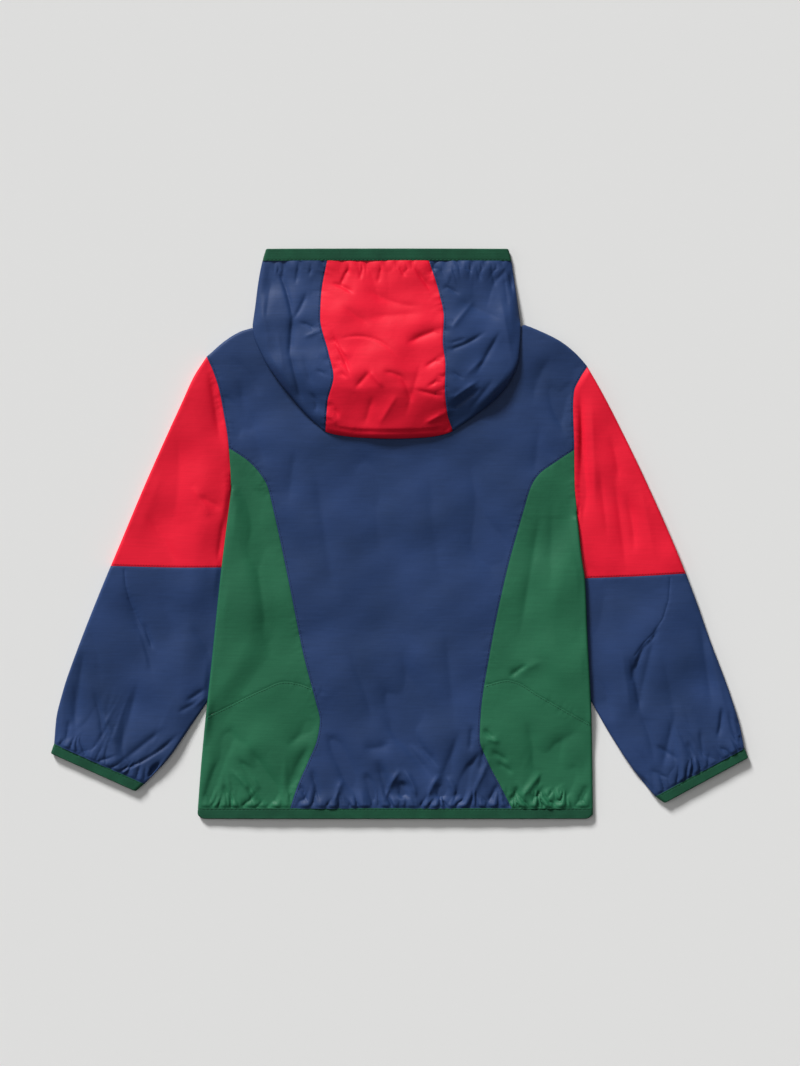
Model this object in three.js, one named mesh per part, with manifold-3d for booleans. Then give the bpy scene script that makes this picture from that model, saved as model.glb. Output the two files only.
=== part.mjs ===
// A child's hooded windbreaker jacket, laid face down and flat, so that its back and the folded-down hood are on top.
// Lengths are millimetres. +X is the wearer's right, +Y runs from the hem to the hood, and +Z is up from the surface
// that the jacket lies on, which is z = 0. The origin is under the middle of the jacket's outline.
//
// The body, the sleeves and the hood are flattened tubes: a wall of cloth over rows of sections, each with a top, an
// underside and a rounded fold along both edges. Every seam is then cut as a narrow slit, which leaves one closed
// piece of cloth for each panel that a maker would cut and sew.

import * as THREE from "three";
import Module from "manifold-3d";
import { mergeVertices } from "three/addons/utils/BufferGeometryUtils.js";

const wasm = await Module();
wasm.setup();

// Driving dimensions
const CLOTH = 1.2; // wall of every cloth panel
const SEAM_GAP = 0.3; // between two pieces that are sewn together
const HALF_GAP = SEAM_GAP / 2;
const BINDING_WALL = 2.2; // the elastic edge binding, folded over the cloth
const BINDING_PROUD = 0.5; // how far the binding stands above the cloth beside it
const HEM_SEAM_Y = -273.5;
const HEM_EDGE_Y = -284.5;
const HOOD_SEAM_Y = 272.5;
const HOOD_EDGE_Y = 284.8;
const ZIP_X = -8; // the centre front
const ZIP_GAP = 9; // between the two front edges
const ZIP_TOP_Y = 157;
const CHAIN_WIDTH = 4.4;
const CHAIN_LOW = 0.45; // the zip's chain and tape above the surface, away from the slider
const CHAIN_HIGH = 2.45;
const TAPE_WIDTH = 10.5;
const TAPE_THICK = 1;
const SLIDER_Y = 148; // the middle of the slider, at the chin
const SLIDER_LENGTH = 10;
const SLIDER_WIDTH = 8;
const SLIDER_PLATE = 0.7;
const SLIDER_LIFT = 2.05; // how far the slider and its pull tab hold up the chain
const PULL_LENGTH = 22;
const PULL_WIDTH = 5;
const PULL_THICK = 1;
const SLIDER_RISE = 1.3; // of the back above the slider
const BODY_LEAST_HEIGHT = 4.3; // both layers at the bottom of a fold
const BODY_EDGE_HEIGHT = 5.0; // both layers at the side folds
const BODY_MID_HEIGHT = 6.2; // both layers at the middle of the body
const BODY_RIM = 2.6; // reach of the rounded fold along the body's sides
const SLEEVE_HEIGHT = 6.2;
const TUCK_HEIGHT = 2.9; // the sleeve where it lies under the body
const TUCK_LIFT = 3.5; // how far the body is lifted there
const TUCK_RAMP = 30;
const SLEEVE_RIM = 2.4;
const HOOD_RIM = 8;
const HOOD_REST = 0.4; // between the hood's under layer and the back
const SHOULDER_ROLL = 7; // how far the shoulder seam lies in front of the shoulder fold

// Colours of the woven nylon and of the binding
const NAVY = { color: 0x24345f, roughness: 0.5, metalness: 0 };
const RED = { color: 0xd81c33, roughness: 0.5, metalness: 0 };
const GREEN = { color: 0x1f6440, roughness: 0.52, metalness: 0 };
const BINDING_GREEN = { color: 0x175038, roughness: 0.75, metalness: 0 };
const ZIP_NAVY = { color: 0x1b2748, roughness: 0.6, metalness: 0 };
const METAL = { color: 0x8d9094, roughness: 0.35, metalness: 0.9 };

// Outlines. Each table has one row for each section, from the hem upwards or from the shoulder down.

// The body's side folds, below the underarms
const LEFT_SIDE = [
  { y: -285, x: -202.8 },
  { y: -228, x: -198.5 },
  { y: -132, x: -188.5 },
  { y: -36, x: -178.5 },
  { y: 44, x: -168.5 },
];
const RIGHT_SIDE = [
  { y: -285, x: 193 },
  { y: -192, x: 191.5 },
  { y: -96, x: 187 },
  { y: -48, x: 185 },
  { y: -24, x: 181.7 },
  { y: 16, x: 177.3 },
];
const LEFT_UNDERARM_Y = 44;
const RIGHT_UNDERARM_Y = 16;

// The armhole seams, from the underarm to the shoulder
const LEFT_ARMHOLE = [
  { y: 44, x: -168.3 },
  { y: 72, x: -170 },
  { y: 96, x: -172 },
  { y: 120, x: -176 },
  { y: 144, x: -180.5 },
  { y: 160, x: -185.5 },
  { y: 177, x: -193 },
  { y: 190, x: -200 },
];
const RIGHT_ARMHOLE = [
  { y: 16, x: 177.3 },
  { y: 48, x: 174.5 },
  { y: 90, x: 173.8 },
  { y: 126, x: 172.8 },
  { y: 142, x: 173.8 },
  { y: 156, x: 180 },
  { y: 167, x: 187 },
  { y: 180, x: 195 },
];

// The shoulder folds, from outside the armhole to under the hood
const LEFT_SHOULDER = [
  { y: 160, x: -220 },
  { y: 177, x: -193.5 },
  { y: 192, x: -176 },
  { y: 202, x: -160 },
  { y: 206, x: -147 },
  { y: 212, x: -120 },
];
const RIGHT_SHOULDER = [
  { y: 155, x: 196 },
  { y: 167, x: 187.5 },
  { y: 180, x: 176 },
  { y: 192, x: 161 },
  { y: 204, x: 137 },
  { y: 210, x: 120.5 },
  { y: 214, x: 100 },
];

// The curved seams between the back and the side panels
const LEFT_BACK_SEAM = [
  { y: -275, x: -110 },
  { y: -252, x: -102.5 },
  { y: -228, x: -92 },
  { y: -204, x: -82.5 },
  { y: -186, x: -80 },
  { y: -168, x: -84 },
  { y: -120, x: -96.5 },
  { y: -48, x: -111 },
  { y: 24, x: -126.5 },
  { y: 48, x: -132.5 },
  { y: 60, x: -139.5 },
  { y: 72, x: -150.5 },
  { y: 86, x: -171.5 },
  { y: 90, x: -180 },
];
const RIGHT_BACK_SEAM = [
  { y: -275, x: 112 },
  { y: -252, x: 100.5 },
  { y: -228, x: 88 },
  { y: -204, x: 79.5 },
  { y: -180, x: 80.5 },
  { y: -120, x: 89.5 },
  { y: -48, x: 104 },
  { y: 24, x: 123.5 },
  { y: 48, x: 131 },
  { y: 60, x: 139 },
  { y: 72, x: 155.5 },
  { y: 84, x: 174 },
  { y: 89, x: 184 },
];

// The seams across the side panels, from the side fold to the back seam
const LEFT_ACROSS_SEAM = [
  { x: -196, y: -184 },
  { x: -166, y: -169 },
  { x: -139.6, y: -156 },
  { x: -114.7, y: -147 },
  { x: -101.5, y: -149 },
  { x: -84, y: -155.5 },
];
const RIGHT_ACROSS_SEAM = [
  { x: 86, y: -150.5 },
  { x: 107, y: -145.6 },
  { x: 117.6, y: -148 },
  { x: 136.7, y: -159.5 },
  { x: 166, y: -176.4 },
  { x: 195, y: -192.5 },
];

// The neck seams: the back one under the folded hood, the front one below the chin
const BACK_NECK = [
  { x: -160, y: 213 },
  { x: -146, y: 205 },
  { x: -100, y: 193 },
  { x: -13, y: 186 },
  { x: 75, y: 194 },
  { x: 120, y: 207 },
  { x: 134, y: 216 },
];
const FRONT_NECK = [
  { x: -160, y: 213 },
  { x: -146, y: 205 },
  { x: -112, y: 172 },
  { x: -62, y: 145 },
  { x: -8, y: 134 },
  { x: 46, y: 146 },
  { x: 90, y: 174 },
  { x: 120, y: 207 },
  { x: 134, y: 216 },
];

// The hood's outline, and how high its top layer stands
const HOOD_ROWS = [
  { y: 95, left: -9.5, right: -9.5, crest: 14 },
  { y: 96, left: -38, right: 22, crest: 19 },
  { y: 98, left: -58, right: 38, crest: 21 },
  { y: 101.5, left: -73, right: 50, crest: 22.5 },
  { y: 108, left: -81, right: 60, crest: 24 },
  { y: 120, left: -94, right: 77, crest: 25 },
  { y: 136, left: -108, right: 96.5, crest: 25 },
  { y: 155, left: -123, right: 111, crest: 24 },
  { y: 175, left: -136, right: 118.5, crest: 22 },
  { y: 206, left: -147, right: 120.3, crest: 18.5 },
  { y: 228, left: -144.5, right: 118, crest: 14.5 },
  { y: 252, left: -141.5, right: 114.5, crest: 10 },
  { y: 272.5, left: -137.5, right: 111.5, crest: 8 },
  { y: 286, left: -133.5, right: 108, crest: 7.4 },
];
const HOOD_LEFT_SEAM = [
  { y: 85, x: -76 },
  { y: 108, x: -74 },
  { y: 132, x: -72 },
  { y: 156, x: -66 },
  { y: 180, x: -71 },
  { y: 216, x: -79.5 },
  { y: 240, x: -78.5 },
  { y: 274, x: -72.5 },
];
const HOOD_RIGHT_SEAM = [
  { y: 85, x: 57 },
  { y: 103, x: 52.5 },
  { y: 120, x: 47 },
  { y: 144, x: 44.5 },
  { y: 168, x: 45 },
  { y: 192, x: 42.5 },
  { y: 216, x: 43.5 },
  { y: 240, x: 39 },
  { y: 274, x: 28.5 },
];
const HOOD_SPLIT_Y = 208; // below this the hood's under layer lies on the back
const HOOD_SPLIT_REACH = 8;

// The face opening's edge on the underside, from the chin to the hood's top corner, as a share of the hood's half width
const FACE_EDGE = [
  { y: 161, out: 0.05 },
  { y: 166, out: 0.2 },
  { y: 180, out: 0.42 },
  { y: 210, out: 0.58 },
  { y: 245, out: 0.68 },
  { y: 284.5, out: 0.72 },
];
const FACE_BINDING_WIDTH = 10.5;

// The sleeves: each row is a section from the outer fold to the inner fold
const LEFT_SLEEVE = [
  { outerX: -193.2, outerY: 177, innerX: -168.5, innerY: 44 },
  { outerX: -206, outerY: 157, innerX: -172.6, innerY: 29 },
  { outerX: -217.5, outerY: 132, innerX: -171.5, innerY: 6 },
  { outerX: -239.5, outerY: 84, innerX: -160, innerY: -30 },
  { outerX: -260.5, outerY: 36, innerX: -154, innerY: -62 },
  { outerX: -280.5, outerY: -12, innerX: -153, innerY: -92 },
  { outerX: -300.5, outerY: -60, innerX: -164, innerY: -124 },
  { outerX: -319.5, outerY: -108, innerX: -186, innerY: -158 },
  { outerX: -336.5, outerY: -156, innerX: -211, innerY: -195 },
  { outerX: -343.5, outerY: -185, innerX: -231, innerY: -224 },
  { outerX: -345.5, outerY: -209, innerX: -255, innerY: -249.5 },
];
const RIGHT_SLEEVE = [
  { outerX: 187.2, outerY: 167, innerX: 177.9, innerY: 16 },
  { outerX: 196, outerY: 152, innerX: 180.8, innerY: 2 },
  { outerX: 209, outerY: 128, innerX: 179, innerY: -18 },
  { outerX: 231, outerY: 84, innerX: 166, innerY: -45 },
  { outerX: 253.5, outerY: 36, innerX: 159, innerY: -72 },
  { outerX: 274.5, outerY: -12, innerX: 157, innerY: -98 },
  { outerX: 293.5, outerY: -60, innerX: 166, innerY: -128 },
  { outerX: 310.5, outerY: -108, innerX: 185, innerY: -157 },
  { outerX: 328.5, outerY: -156, innerX: 208, innerY: -197 },
  { outerX: 338.5, outerY: -188, innerX: 232, innerY: -234 },
  { outerX: 344, outerY: -213.5, innerX: 254.6, innerY: -262 },
];
const CUFF_WIDTH = 10.5;
const LEFT_SLEEVE_SEAM = [
  { x: -300, y: -31.5 },
  { x: -215, y: -33.5 },
  { x: -130, y: -33 },
];
const RIGHT_SLEEVE_SEAM = [
  { x: 130, y: -46 },
  { x: 230, y: -42.5 },
  { x: 300, y: -38.5 },
];

// The largest folds, as soft troughs from one point to another
const BODY_FOLDS = [
  { x0: -66, y0: -205, x1: -44, y1: -262, width: 13, depth: 1.4 },
  { x0: -14, y0: -186, x1: 34, y1: -246, width: 15, depth: 1.3 },
  { x0: 2, y0: -120, x1: 18, y1: -190, width: 18, depth: 0.9 },
  { x0: 58, y0: -200, x1: 40, y1: -262, width: 12, depth: 1.3 },
  { x0: -22, y0: -228, x1: -8, y1: -266, width: 12, depth: 1.3 },
  { x0: -92, y0: -212, x1: -112, y1: -258, width: 12, depth: 1.3 },
  { x0: -168, y0: -196, x1: -190, y1: -262, width: 12, depth: 1.2 },
  { x0: -150, y0: -215, x1: -118, y1: -264, width: 10, depth: 1.1 },
  { x0: 128, y0: -190, x1: 140, y1: -240, width: 14, depth: 1.0 },
  { x0: 162, y0: -205, x1: 132, y1: -262, width: 11, depth: 1.2 },
  { x0: -84, y0: 60, x1: -66, y1: -60, width: 22, depth: 0.8 },
  { x0: 70, y0: 70, x1: 92, y1: -40, width: 20, depth: 0.9 },
  { x0: -150, y0: 20, x1: -130, y1: -120, width: 14, depth: 0.7 },
  { x0: 140, y0: 20, x1: 120, y1: -100, width: 14, depth: 0.8 },
  { x0: 150, y0: 150, x1: 164, y1: 100, width: 12, depth: 1.0 },
  { x0: -160, y0: 150, x1: -150, y1: 100, width: 12, depth: 0.7 },
];
const SLEEVE_FOLDS = [
  { x0: -190, y0: 160, x1: -180, y1: 96, width: 8, depth: 1.3 },
  { x0: -252, y0: 20, x1: -222, y1: -30, width: 14, depth: 0.9 },
  { x0: -275, y0: -50, x1: -246, y1: -140, width: 12, depth: 1.5 },
  { x0: -316, y0: -120, x1: -326, y1: -190, width: 11, depth: 1.2 },
  { x0: -262, y0: -150, x1: -280, y1: -220, width: 12, depth: 1.3 },
  { x0: -238, y0: -196, x1: -276, y1: -226, width: 8, depth: 1.6 },
  { x0: 180, y0: 140, x1: 184, y1: 30, width: 8, depth: 2.0 },
  { x0: 214, y0: 60, x1: 226, y1: -34, width: 12, depth: 1.1 },
  { x0: 256, y0: -92, x1: 236, y1: -180, width: 12, depth: 1.8 },
  { x0: 300, y0: -90, x1: 312, y1: -170, width: 13, depth: 1.3 },
  { x0: 274, y0: -180, x1: 262, y1: -236, width: 10, depth: 1.3 },
];
const HOOD_FOLDS = [
  { x0: -122, y0: 250, x1: -104, y1: 140, width: 12, depth: 2.6 },
  { x0: -96, y0: 262, x1: -92, y1: 214, width: 10, depth: 1.6 },
  { x0: -74, y0: 190, x1: -44, y1: 150, width: 11, depth: 2.2 },
  { x0: -30, y0: 216, x1: 20, y1: 220, width: 12, depth: 1.4 },
  { x0: 14, y0: 190, x1: 46, y1: 200, width: 10, depth: 1.8 },
  { x0: -30, y0: 150, x1: 30, y1: 128, width: 13, depth: 1.6 },
  { x0: 60, y0: 232, x1: 100, y1: 214, width: 12, depth: 1.8 },
  { x0: 56, y0: 170, x1: 92, y1: 150, width: 12, depth: 2.0 },
];

// Elastic gathers: how many, how deep and how far they run up the cloth
const HEM_GATHERS = { count: 38, seed: 1, depth: 2.3, reach: 24 };
const LEFT_CUFF_GATHERS = { count: 10, seed: 7, depth: 2.4, reach: 24 };
const RIGHT_CUFF_GATHERS = { count: 10, seed: 11, depth: 2.4, reach: 24 };
const HOOD_GATHERS = { count: 17, seed: 23, depth: 1.9, reach: 22 };

const clamp01 = (t) => Math.min(1, Math.max(0, t));
const smooth = (t) => clamp01(t) ** 2 * (3 - 2 * clamp01(t));
const mix = (a, b, t) => a + (b - a) * t;
const pointOf = ({ x, y }) => new THREE.Vector2(x, y);

// A smooth curve through the rows of a table, which never swings past them and runs on straight beyond its ends.
function curveThrough(table, from, to) {
  const rows = [...table].sort((a, b) => a[from] - b[from]);
  const at = rows.map((row) => row[from]);
  const value = rows.map((row) => row[to]);
  const chord = at.slice(1).map((end, i) => (value[i + 1] - value[i]) / (end - at[i]));
  const slope = value.map((_, i) => {
    if (i === 0) return chord[0];
    if (i === value.length - 1) return chord[i - 1];
    const product = chord[i - 1] * chord[i];
    return product <= 0 ? 0 : (2 * product) / (chord[i - 1] + chord[i]);
  });
  return (t) => {
    const last = at.length - 1;
    if (t <= at[0]) return value[0] + slope[0] * (t - at[0]);
    if (t >= at[last]) return value[last] + slope[last] * (t - at[last]);
    const i = at.findIndex((end) => end > t) - 1;
    const width = at[i + 1] - at[i];
    const u = (t - at[i]) / width;
    const rise = u * u * (3 - 2 * u);
    return (
      mix(value[i], value[i + 1], rise) +
      width * (slope[i] * u * (1 - u) ** 2 - slope[i + 1] * u * u * (1 - u))
    );
  };
}

// Numbers from 0 to 1 that are uneven but always the same.
function uneven(index, seed) {
  const wave = Math.sin(index * 127.1 + seed * 311.7) * 43758.5453;
  return wave - Math.floor(wave);
}

// The gathers along an edge of a given length, each with its place, depth and reach.
function gathersAlong(length, { count, seed, depth, reach }) {
  const widths = Array.from({ length: count }, (_, i) => 0.7 + 0.6 * uneven(i, seed));
  const total = widths.reduce((sum, width) => sum + width, 0);
  let from = 0;
  return widths.map((width, i) => {
    const gather = {
      from,
      to: from + (width / total) * length,
      depth: depth * (0.55 + 0.45 * uneven(i, seed + 2)),
      reach: reach * (0.45 + 0.75 * uneven(i, seed + 4)),
    };
    from = gather.to;
    return gather;
  });
}

// How far a gathered edge stands up at a place along it, at a distance from its seam.
function gatherHeight(gathers, along, distance) {
  const gather = gathers.find(({ from, to }) => along >= from && along <= to);
  if (!gather) return 0;
  const phase = (along - gather.from) / (gather.to - gather.from);
  const ridge = 0.5 - 0.5 * Math.cos(2 * Math.PI * phase);
  return gather.depth * (ridge - 0.4) * (1 - smooth(distance / gather.reach));
}

// Where the columns of a gathered row lie: so many to each gather.
function gatherColumns(gathers, perGather) {
  return gathers.flatMap(({ from, to }) =>
    Array.from({ length: perGather }, (_, i) => mix(from, to, i / perGather)),
  );
}

// How far the folds lower the cloth at a point: each is a soft trough that fades towards both ends.
function foldDepth(folds, x, y) {
  return folds.reduce((sum, { x0, y0, x1, y1, width, depth }) => {
    const run = new THREE.Vector2(x1 - x0, y1 - y0);
    const offset = new THREE.Vector2(x - x0, y - y0);
    const along = offset.dot(run) / run.lengthSq();
    const across = offset.cross(run) / run.length();
    const fade = smooth((along + 0.25) / 0.5) * smooth((1.25 - along) / 0.5);
    return sum + depth * fade * Math.exp(-((across / (width * 0.55)) ** 2));
  }, 0);
}

// The distance from a point to a line of points.
function distanceTo(line, x, y) {
  let best = Infinity;
  for (let i = 0; i + 1 < line.length; i++) {
    const runX = line[i + 1].x - line[i].x;
    const runY = line[i + 1].y - line[i].y;
    const share = clamp01(
      ((x - line[i].x) * runX + (y - line[i].y) * runY) / (runX * runX + runY * runY || 1),
    );
    best = Math.min(best, Math.hypot(x - line[i].x - share * runX, y - line[i].y - share * runY));
  }
  return best;
}

// A closed solid from triangles, whichever way round they were given. Points that coincide are merged.
function solidOf(triangles) {
  const kept = [];
  const places = new Map();
  const vertices = [];
  const indexOf = (p) => {
    const key = [p.x, p.y, p.z].map((v) => Math.round(v * 2000)).join();
    if (!places.has(key)) {
      places.set(key, vertices.length / 3);
      vertices.push(p.x, p.y, p.z);
    }
    return places.get(key);
  };
  let volume = 0;
  for (const [a, b, c] of triangles) {
    const [i, j, k] = [indexOf(a), indexOf(b), indexOf(c)];
    if (i === j || j === k || k === i) continue;
    kept.push([i, j, k]);
    volume += a.dot(b.clone().cross(c));
  }
  const facingOut = volume < 0 ? kept.map(([i, j, k]) => [i, k, j]) : kept;
  return new wasm.Manifold(
    new wasm.Mesh({
      numProp: 3,
      vertProperties: new Float32Array(vertices),
      triVerts: new Uint32Array(facingOut.flat()),
    }),
  );
}

// A three.js geometry as a solid.
function solidFromGeometry(geometry) {
  const bare = geometry.clone();
  bare.deleteAttribute("normal");
  bare.deleteAttribute("uv");
  const merged = mergeVertices(bare, 1e-4);
  return new wasm.Manifold(
    new wasm.Mesh({
      numProp: 3,
      vertProperties: merged.attributes.position.array,
      triVerts: new Uint32Array(merged.index.array),
    }),
  );
}

// An upright prism over a flat outline.
function prism(points, low, high) {
  const geometry = new THREE.ExtrudeGeometry(new THREE.Shape(points), {
    depth: high - low,
    bevelEnabled: false,
  });
  geometry.translate(0, 0, low);
  return solidFromGeometry(geometry);
}

// A thin upright blade along a line of points, as wide as the gap that it leaves.
function blade(line, low, high, width = SEAM_GAP) {
  const sides = [width / 2, -width / 2].map((offset) =>
    line.map((point, i) => {
      const before = line[Math.max(0, i - 1)];
      const after = line[Math.min(line.length - 1, i + 1)];
      const run = after.clone().sub(before).normalize();
      return new THREE.Vector2(point.x - run.y * offset, point.y + run.x * offset);
    }),
  );
  return prism([...sides[0], ...sides[1].reverse()], low, high);
}

// Places from one end to the other, on the same even grid whatever the ends are.
function gridPlaces(from, to, step) {
  const [low, high] = [Math.min(from, to), Math.max(from, to)];
  const places = [low];
  for (let place = Math.ceil(low / step + 0.2) * step; place < high - 0.2 * step; place += step) {
    places.push(place);
  }
  places.push(high);
  return from < to ? places : places.reverse();
}

// Points of a curve y(x) or x(y) on the grid.
function lineAlongX(table, from, to, step) {
  const curve = curveThrough(table, "x", "y");
  return gridPlaces(from, to, step).map((x) => new THREE.Vector2(x, curve(x)));
}
function lineAlongY(table, from, to, step) {
  const curve = curveThrough(table, "y", "x");
  return gridPlaces(from, to, step).map((y) => new THREE.Vector2(curve(y), y));
}

// Triangles between two rows of points, which may differ in count. Each point has its place t along its row.
function strip(a, b) {
  const triangles = [];
  let i = 0;
  let j = 0;
  while (i < a.length - 1 || j < b.length - 1) {
    const nextA = i < a.length - 1 ? a[i + 1].t : Infinity;
    const nextB = j < b.length - 1 ? b[j + 1].t : Infinity;
    if (nextA <= nextB) {
      triangles.push([a[i].p, a[i + 1].p, b[j].p]);
      i += 1;
    } else {
      triangles.push([b[j + 1].p, b[j].p, a[i].p]);
      j += 1;
    }
  }
  return triangles;
}

// A closed form from rows, each with its points over the top and over the underside.
function loft(rows) {
  const first = rows[0];
  const last = rows[rows.length - 1];
  const triangles = [...strip(first.under, first.top), ...strip(last.top, last.under)];
  for (let i = 0; i + 1 < rows.length; i++) {
    triangles.push(...strip(rows[i].top, rows[i + 1].top));
    triangles.push(...strip(rows[i + 1].under, rows[i].under));
  }
  return solidOf(triangles);
}

// One row of a flattened tube, taken in by a depth all round. A section has its two edge points, the places across it
// of its columns as shares of its width, and functions for its heights and for the distance from its edges.
function sectionRow(section, depth) {
  const { left, right, columns, underColumns, rim, top, under } = section;
  const across = right.clone().sub(left);
  const width = across.length();
  const lean = section.lean ?? [1, 1];
  const bend = section.bend ?? (() => 0);
  const inner = rim - depth;
  const rounding = [0, 0.3, 1].map((share) => depth + share * inner);
  const place = (share) => {
    const p = left.clone().addScaledVector(across, share);
    p.x += bend(share);
    return p;
  };
  const edgeDistance = (share, p) =>
    Math.min(
      share * width * lean[0],
      (1 - share) * width * lean[1],
      section.distance ? section.distance(p.x, p.y) : Infinity,
    );
  const points = (shares, side) => {
    const near = rounding.map((distance) => distance / (width * lean[0]));
    const far = rounding.map((distance) => 1 - distance / (width * lean[1])).reverse();
    const middle = shares.filter((share) => share > near[2] + 0.002 && share < far[0] - 0.002);
    const all = width * Math.min(...lean) < 2.2 * rim ? [near[0], 0.5, far[2]] : [...near, ...middle, ...far];
    return all.map((share, index) => {
      const p = place(share);
      const atEdge = index === 0 || index === all.length - 1;
      const distance = atEdge ? 0 : Math.max(0, Math.min(inner, edgeDistance(share, p) - depth));
      const swell = Math.sqrt(1 - (1 - distance / inner) ** 2);
      const high = top(p.x, p.y);
      const low = under(p.x, p.y);
      const middleHeight = (high + low) / 2;
      const half = (high - low) / 2 - depth;
      return { t: share, p: new THREE.Vector3(p.x, p.y, middleHeight + side * half * swell) };
    });
  };
  return { top: points(columns, 1), under: points(underColumns, -1) };
}

// The wall of a flattened tube with open ends. Stations run along it, and sectionAt gives the section at each.
// The tube goes some way beyond its end stations where its ends are cut to shape later.
function tubeWall(stations, sectionAt, wall, beyond = 0, spare = 1) {
  const direction = Math.sign(stations[1] - stations[0]);
  const longer = (by) => [
    stations[0] - direction * by,
    ...stations.slice(1, -1),
    stations[stations.length - 1] + direction * by,
  ];
  const outer = loft(longer(beyond).map((station) => sectionRow(sectionAt(station), 0)));
  const inner = loft(longer(beyond + spare).map((station) => sectionRow(sectionAt(station, wall), wall)));
  return outer.subtract(inner);
}

// Evenly spaced shares across a section.
const evenShares = (count) => Array.from({ length: count - 1 }, (_, i) => (i + 1) / count);

// The body

const leftSide = curveThrough(LEFT_SIDE, "y", "x");
const rightSide = curveThrough(RIGHT_SIDE, "y", "x");
const leftArmhole = curveThrough(LEFT_ARMHOLE, "y", "x");
const rightArmhole = curveThrough(RIGHT_ARMHOLE, "y", "x");
const leftShoulder = curveThrough(LEFT_SHOULDER, "y", "x");
const rightShoulder = curveThrough(RIGHT_SHOULDER, "y", "x");
const leftInner = curveThrough(LEFT_SLEEVE.slice(2), "innerY", "innerX");
const rightInner = curveThrough(RIGHT_SLEEVE.slice(2), "innerY", "innerX");
const ARMHOLE_SPARE = 9; // cloth beyond the armhole seams, which is cut away

function leftEdge(y) {
  if (y <= LEFT_UNDERARM_Y) return leftSide(y);
  const spare = ARMHOLE_SPARE * smooth((y - LEFT_UNDERARM_Y) / 12);
  return Math.max(leftArmhole(y) - spare, leftShoulder(y));
}
function rightEdge(y) {
  if (y <= RIGHT_UNDERARM_Y) return rightSide(y);
  const spare = ARMHOLE_SPARE * smooth((y - RIGHT_UNDERARM_Y) / 12);
  return Math.min(rightArmhole(y) + spare, rightShoulder(y));
}
const leanOf = (edge, y) => 1 / Math.hypot(1, edge(y + 1) - edge(y));

// The front of the body rises where a sleeve is tucked under it.
function bodyUnder(x, y) {
  const left = 1 - smooth((x - leftInner(y) - 2) / TUCK_RAMP);
  const right = 1 - smooth((rightInner(y) - 2 - x) / TUCK_RAMP);
  const belowLeft = 1 - smooth((y - LEFT_UNDERARM_Y + 10) / 40);
  const belowRight = 1 - smooth((y - RIGHT_UNDERARM_Y + 10) / 40);
  return TUCK_LIFT * (left * belowLeft + right * belowRight);
}

// The zip's slider holds both layers up at the chin.
const sliderLift = (x, y) => Math.exp(-(((x - ZIP_X) / 34) ** 2) - ((y - SLIDER_Y) / 30) ** 2);

const hemLength = rightEdge(HEM_SEAM_Y) - leftEdge(HEM_SEAM_Y);
const hemGathers = gathersAlong(hemLength, HEM_GATHERS);

function bodyTop(x, y) {
  const inside = Math.min(x - leftEdge(y), rightEdge(y) - x);
  const fullness = mix(BODY_EDGE_HEIGHT, BODY_MID_HEIGHT, smooth(inside / 70));
  const calm = smooth((inside - 2) / 10);
  const gather = gatherHeight(hemGathers, x - leftEdge(HEM_SEAM_Y), y - HEM_SEAM_Y);
  const height = fullness + calm * (gather - foldDepth(BODY_FOLDS, x, y));
  return bodyUnder(x, y) + Math.max(BODY_LEAST_HEIGHT, height) + SLIDER_RISE * sliderLift(x, y);
}

const bodyColumns = evenShares(15);

// The underside's columns follow the ramps from the tucked sleeves, with a few between them.
function bodyUnderColumns(y) {
  const ramp = [2, 2 + TUCK_RAMP * 0.35, 2 + TUCK_RAMP * 0.7, 2 + TUCK_RAMP];
  const places = [...ramp.map((x) => leftInner(y) + x), -66, 0, 66, ...ramp.map((x) => rightInner(y) - x)];
  const width = rightEdge(y) - leftEdge(y);
  return places.map((x) => (x - leftEdge(y)) / width).sort((a, b) => a - b);
}
function bodySection(y, _wall, columns = bodyColumns) {
  return {
    left: new THREE.Vector2(leftEdge(y), y),
    right: new THREE.Vector2(rightEdge(y), y),
    lean: [leanOf(leftEdge, y), leanOf(rightEdge, y)],
    columns,
    underColumns: bodyUnderColumns(y),
    rim: BODY_RIM,
    top: bodyTop,
    under: bodyUnder,
  };
}

// Rows are close together at the gathers, the underarms and the shoulders.
const HEM_ROWS = [
  { above: HALF_GAP, perGather: 3 },
  { above: 4.5, perGather: 3 },
  { above: 10.5, perGather: 2 },
  { above: 20, perGather: 1 },
];
const hemColumns = (perGather) => gatherColumns(hemGathers, perGather).map((place) => place / hemLength);
const bodyStations = [
  ...HEM_ROWS.map(({ above }) => HEM_SEAM_Y + above),
  ...[-234, -212, -190, -166, -140, -112, -84, -56, -30, -8, 8, 20, 32, 44],
  ...[56, 76, 98, 120, 140, 157, 168, 178, 188, 197, 204, 211],
];
const bodySectionAt = (y, wall) => {
  const row = HEM_ROWS.find(({ above }) => Math.abs(y - HEM_SEAM_Y - above) < 2.001 && y < -240);
  return bodySection(y, wall, row ? hemColumns(row.perGather) : bodyColumns);
};

const THROUGH = [-2, 40]; // heights that reach through everything
const SPLIT_Z = 2.7; // between the body's two layers, where neither is lifted
const CUT_STEP = 14;

// The region beyond a seam line, for cutting away: the line and two far corners.
const regionBeyond = (line, ...corners) => [...line, ...corners.map(([x, y]) => new THREE.Vector2(x, y))];
const shifted = (line, dx, dy) => line.map((p) => new THREE.Vector2(p.x + dx, p.y + dy));

// Where a seam across a side panel meets the back seam.
function meetingX(acrossTable, backTable) {
  const across = curveThrough(acrossTable, "x", "y");
  const back = curveThrough(backTable, "y", "x");
  let x = back(acrossTable[0].y);
  for (let step = 0; step < 20; step++) x = back(across(x));
  return x;
}

// Everything on one side of a line across the jacket, for cutting away.
function upTo(y, direction) {
  return prism(
    [
      new THREE.Vector2(-400, y),
      new THREE.Vector2(400, y),
      new THREE.Vector2(400, y + direction * 20),
      new THREE.Vector2(-400, y + direction * 20),
    ],
    ...THROUGH,
  );
}

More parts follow.
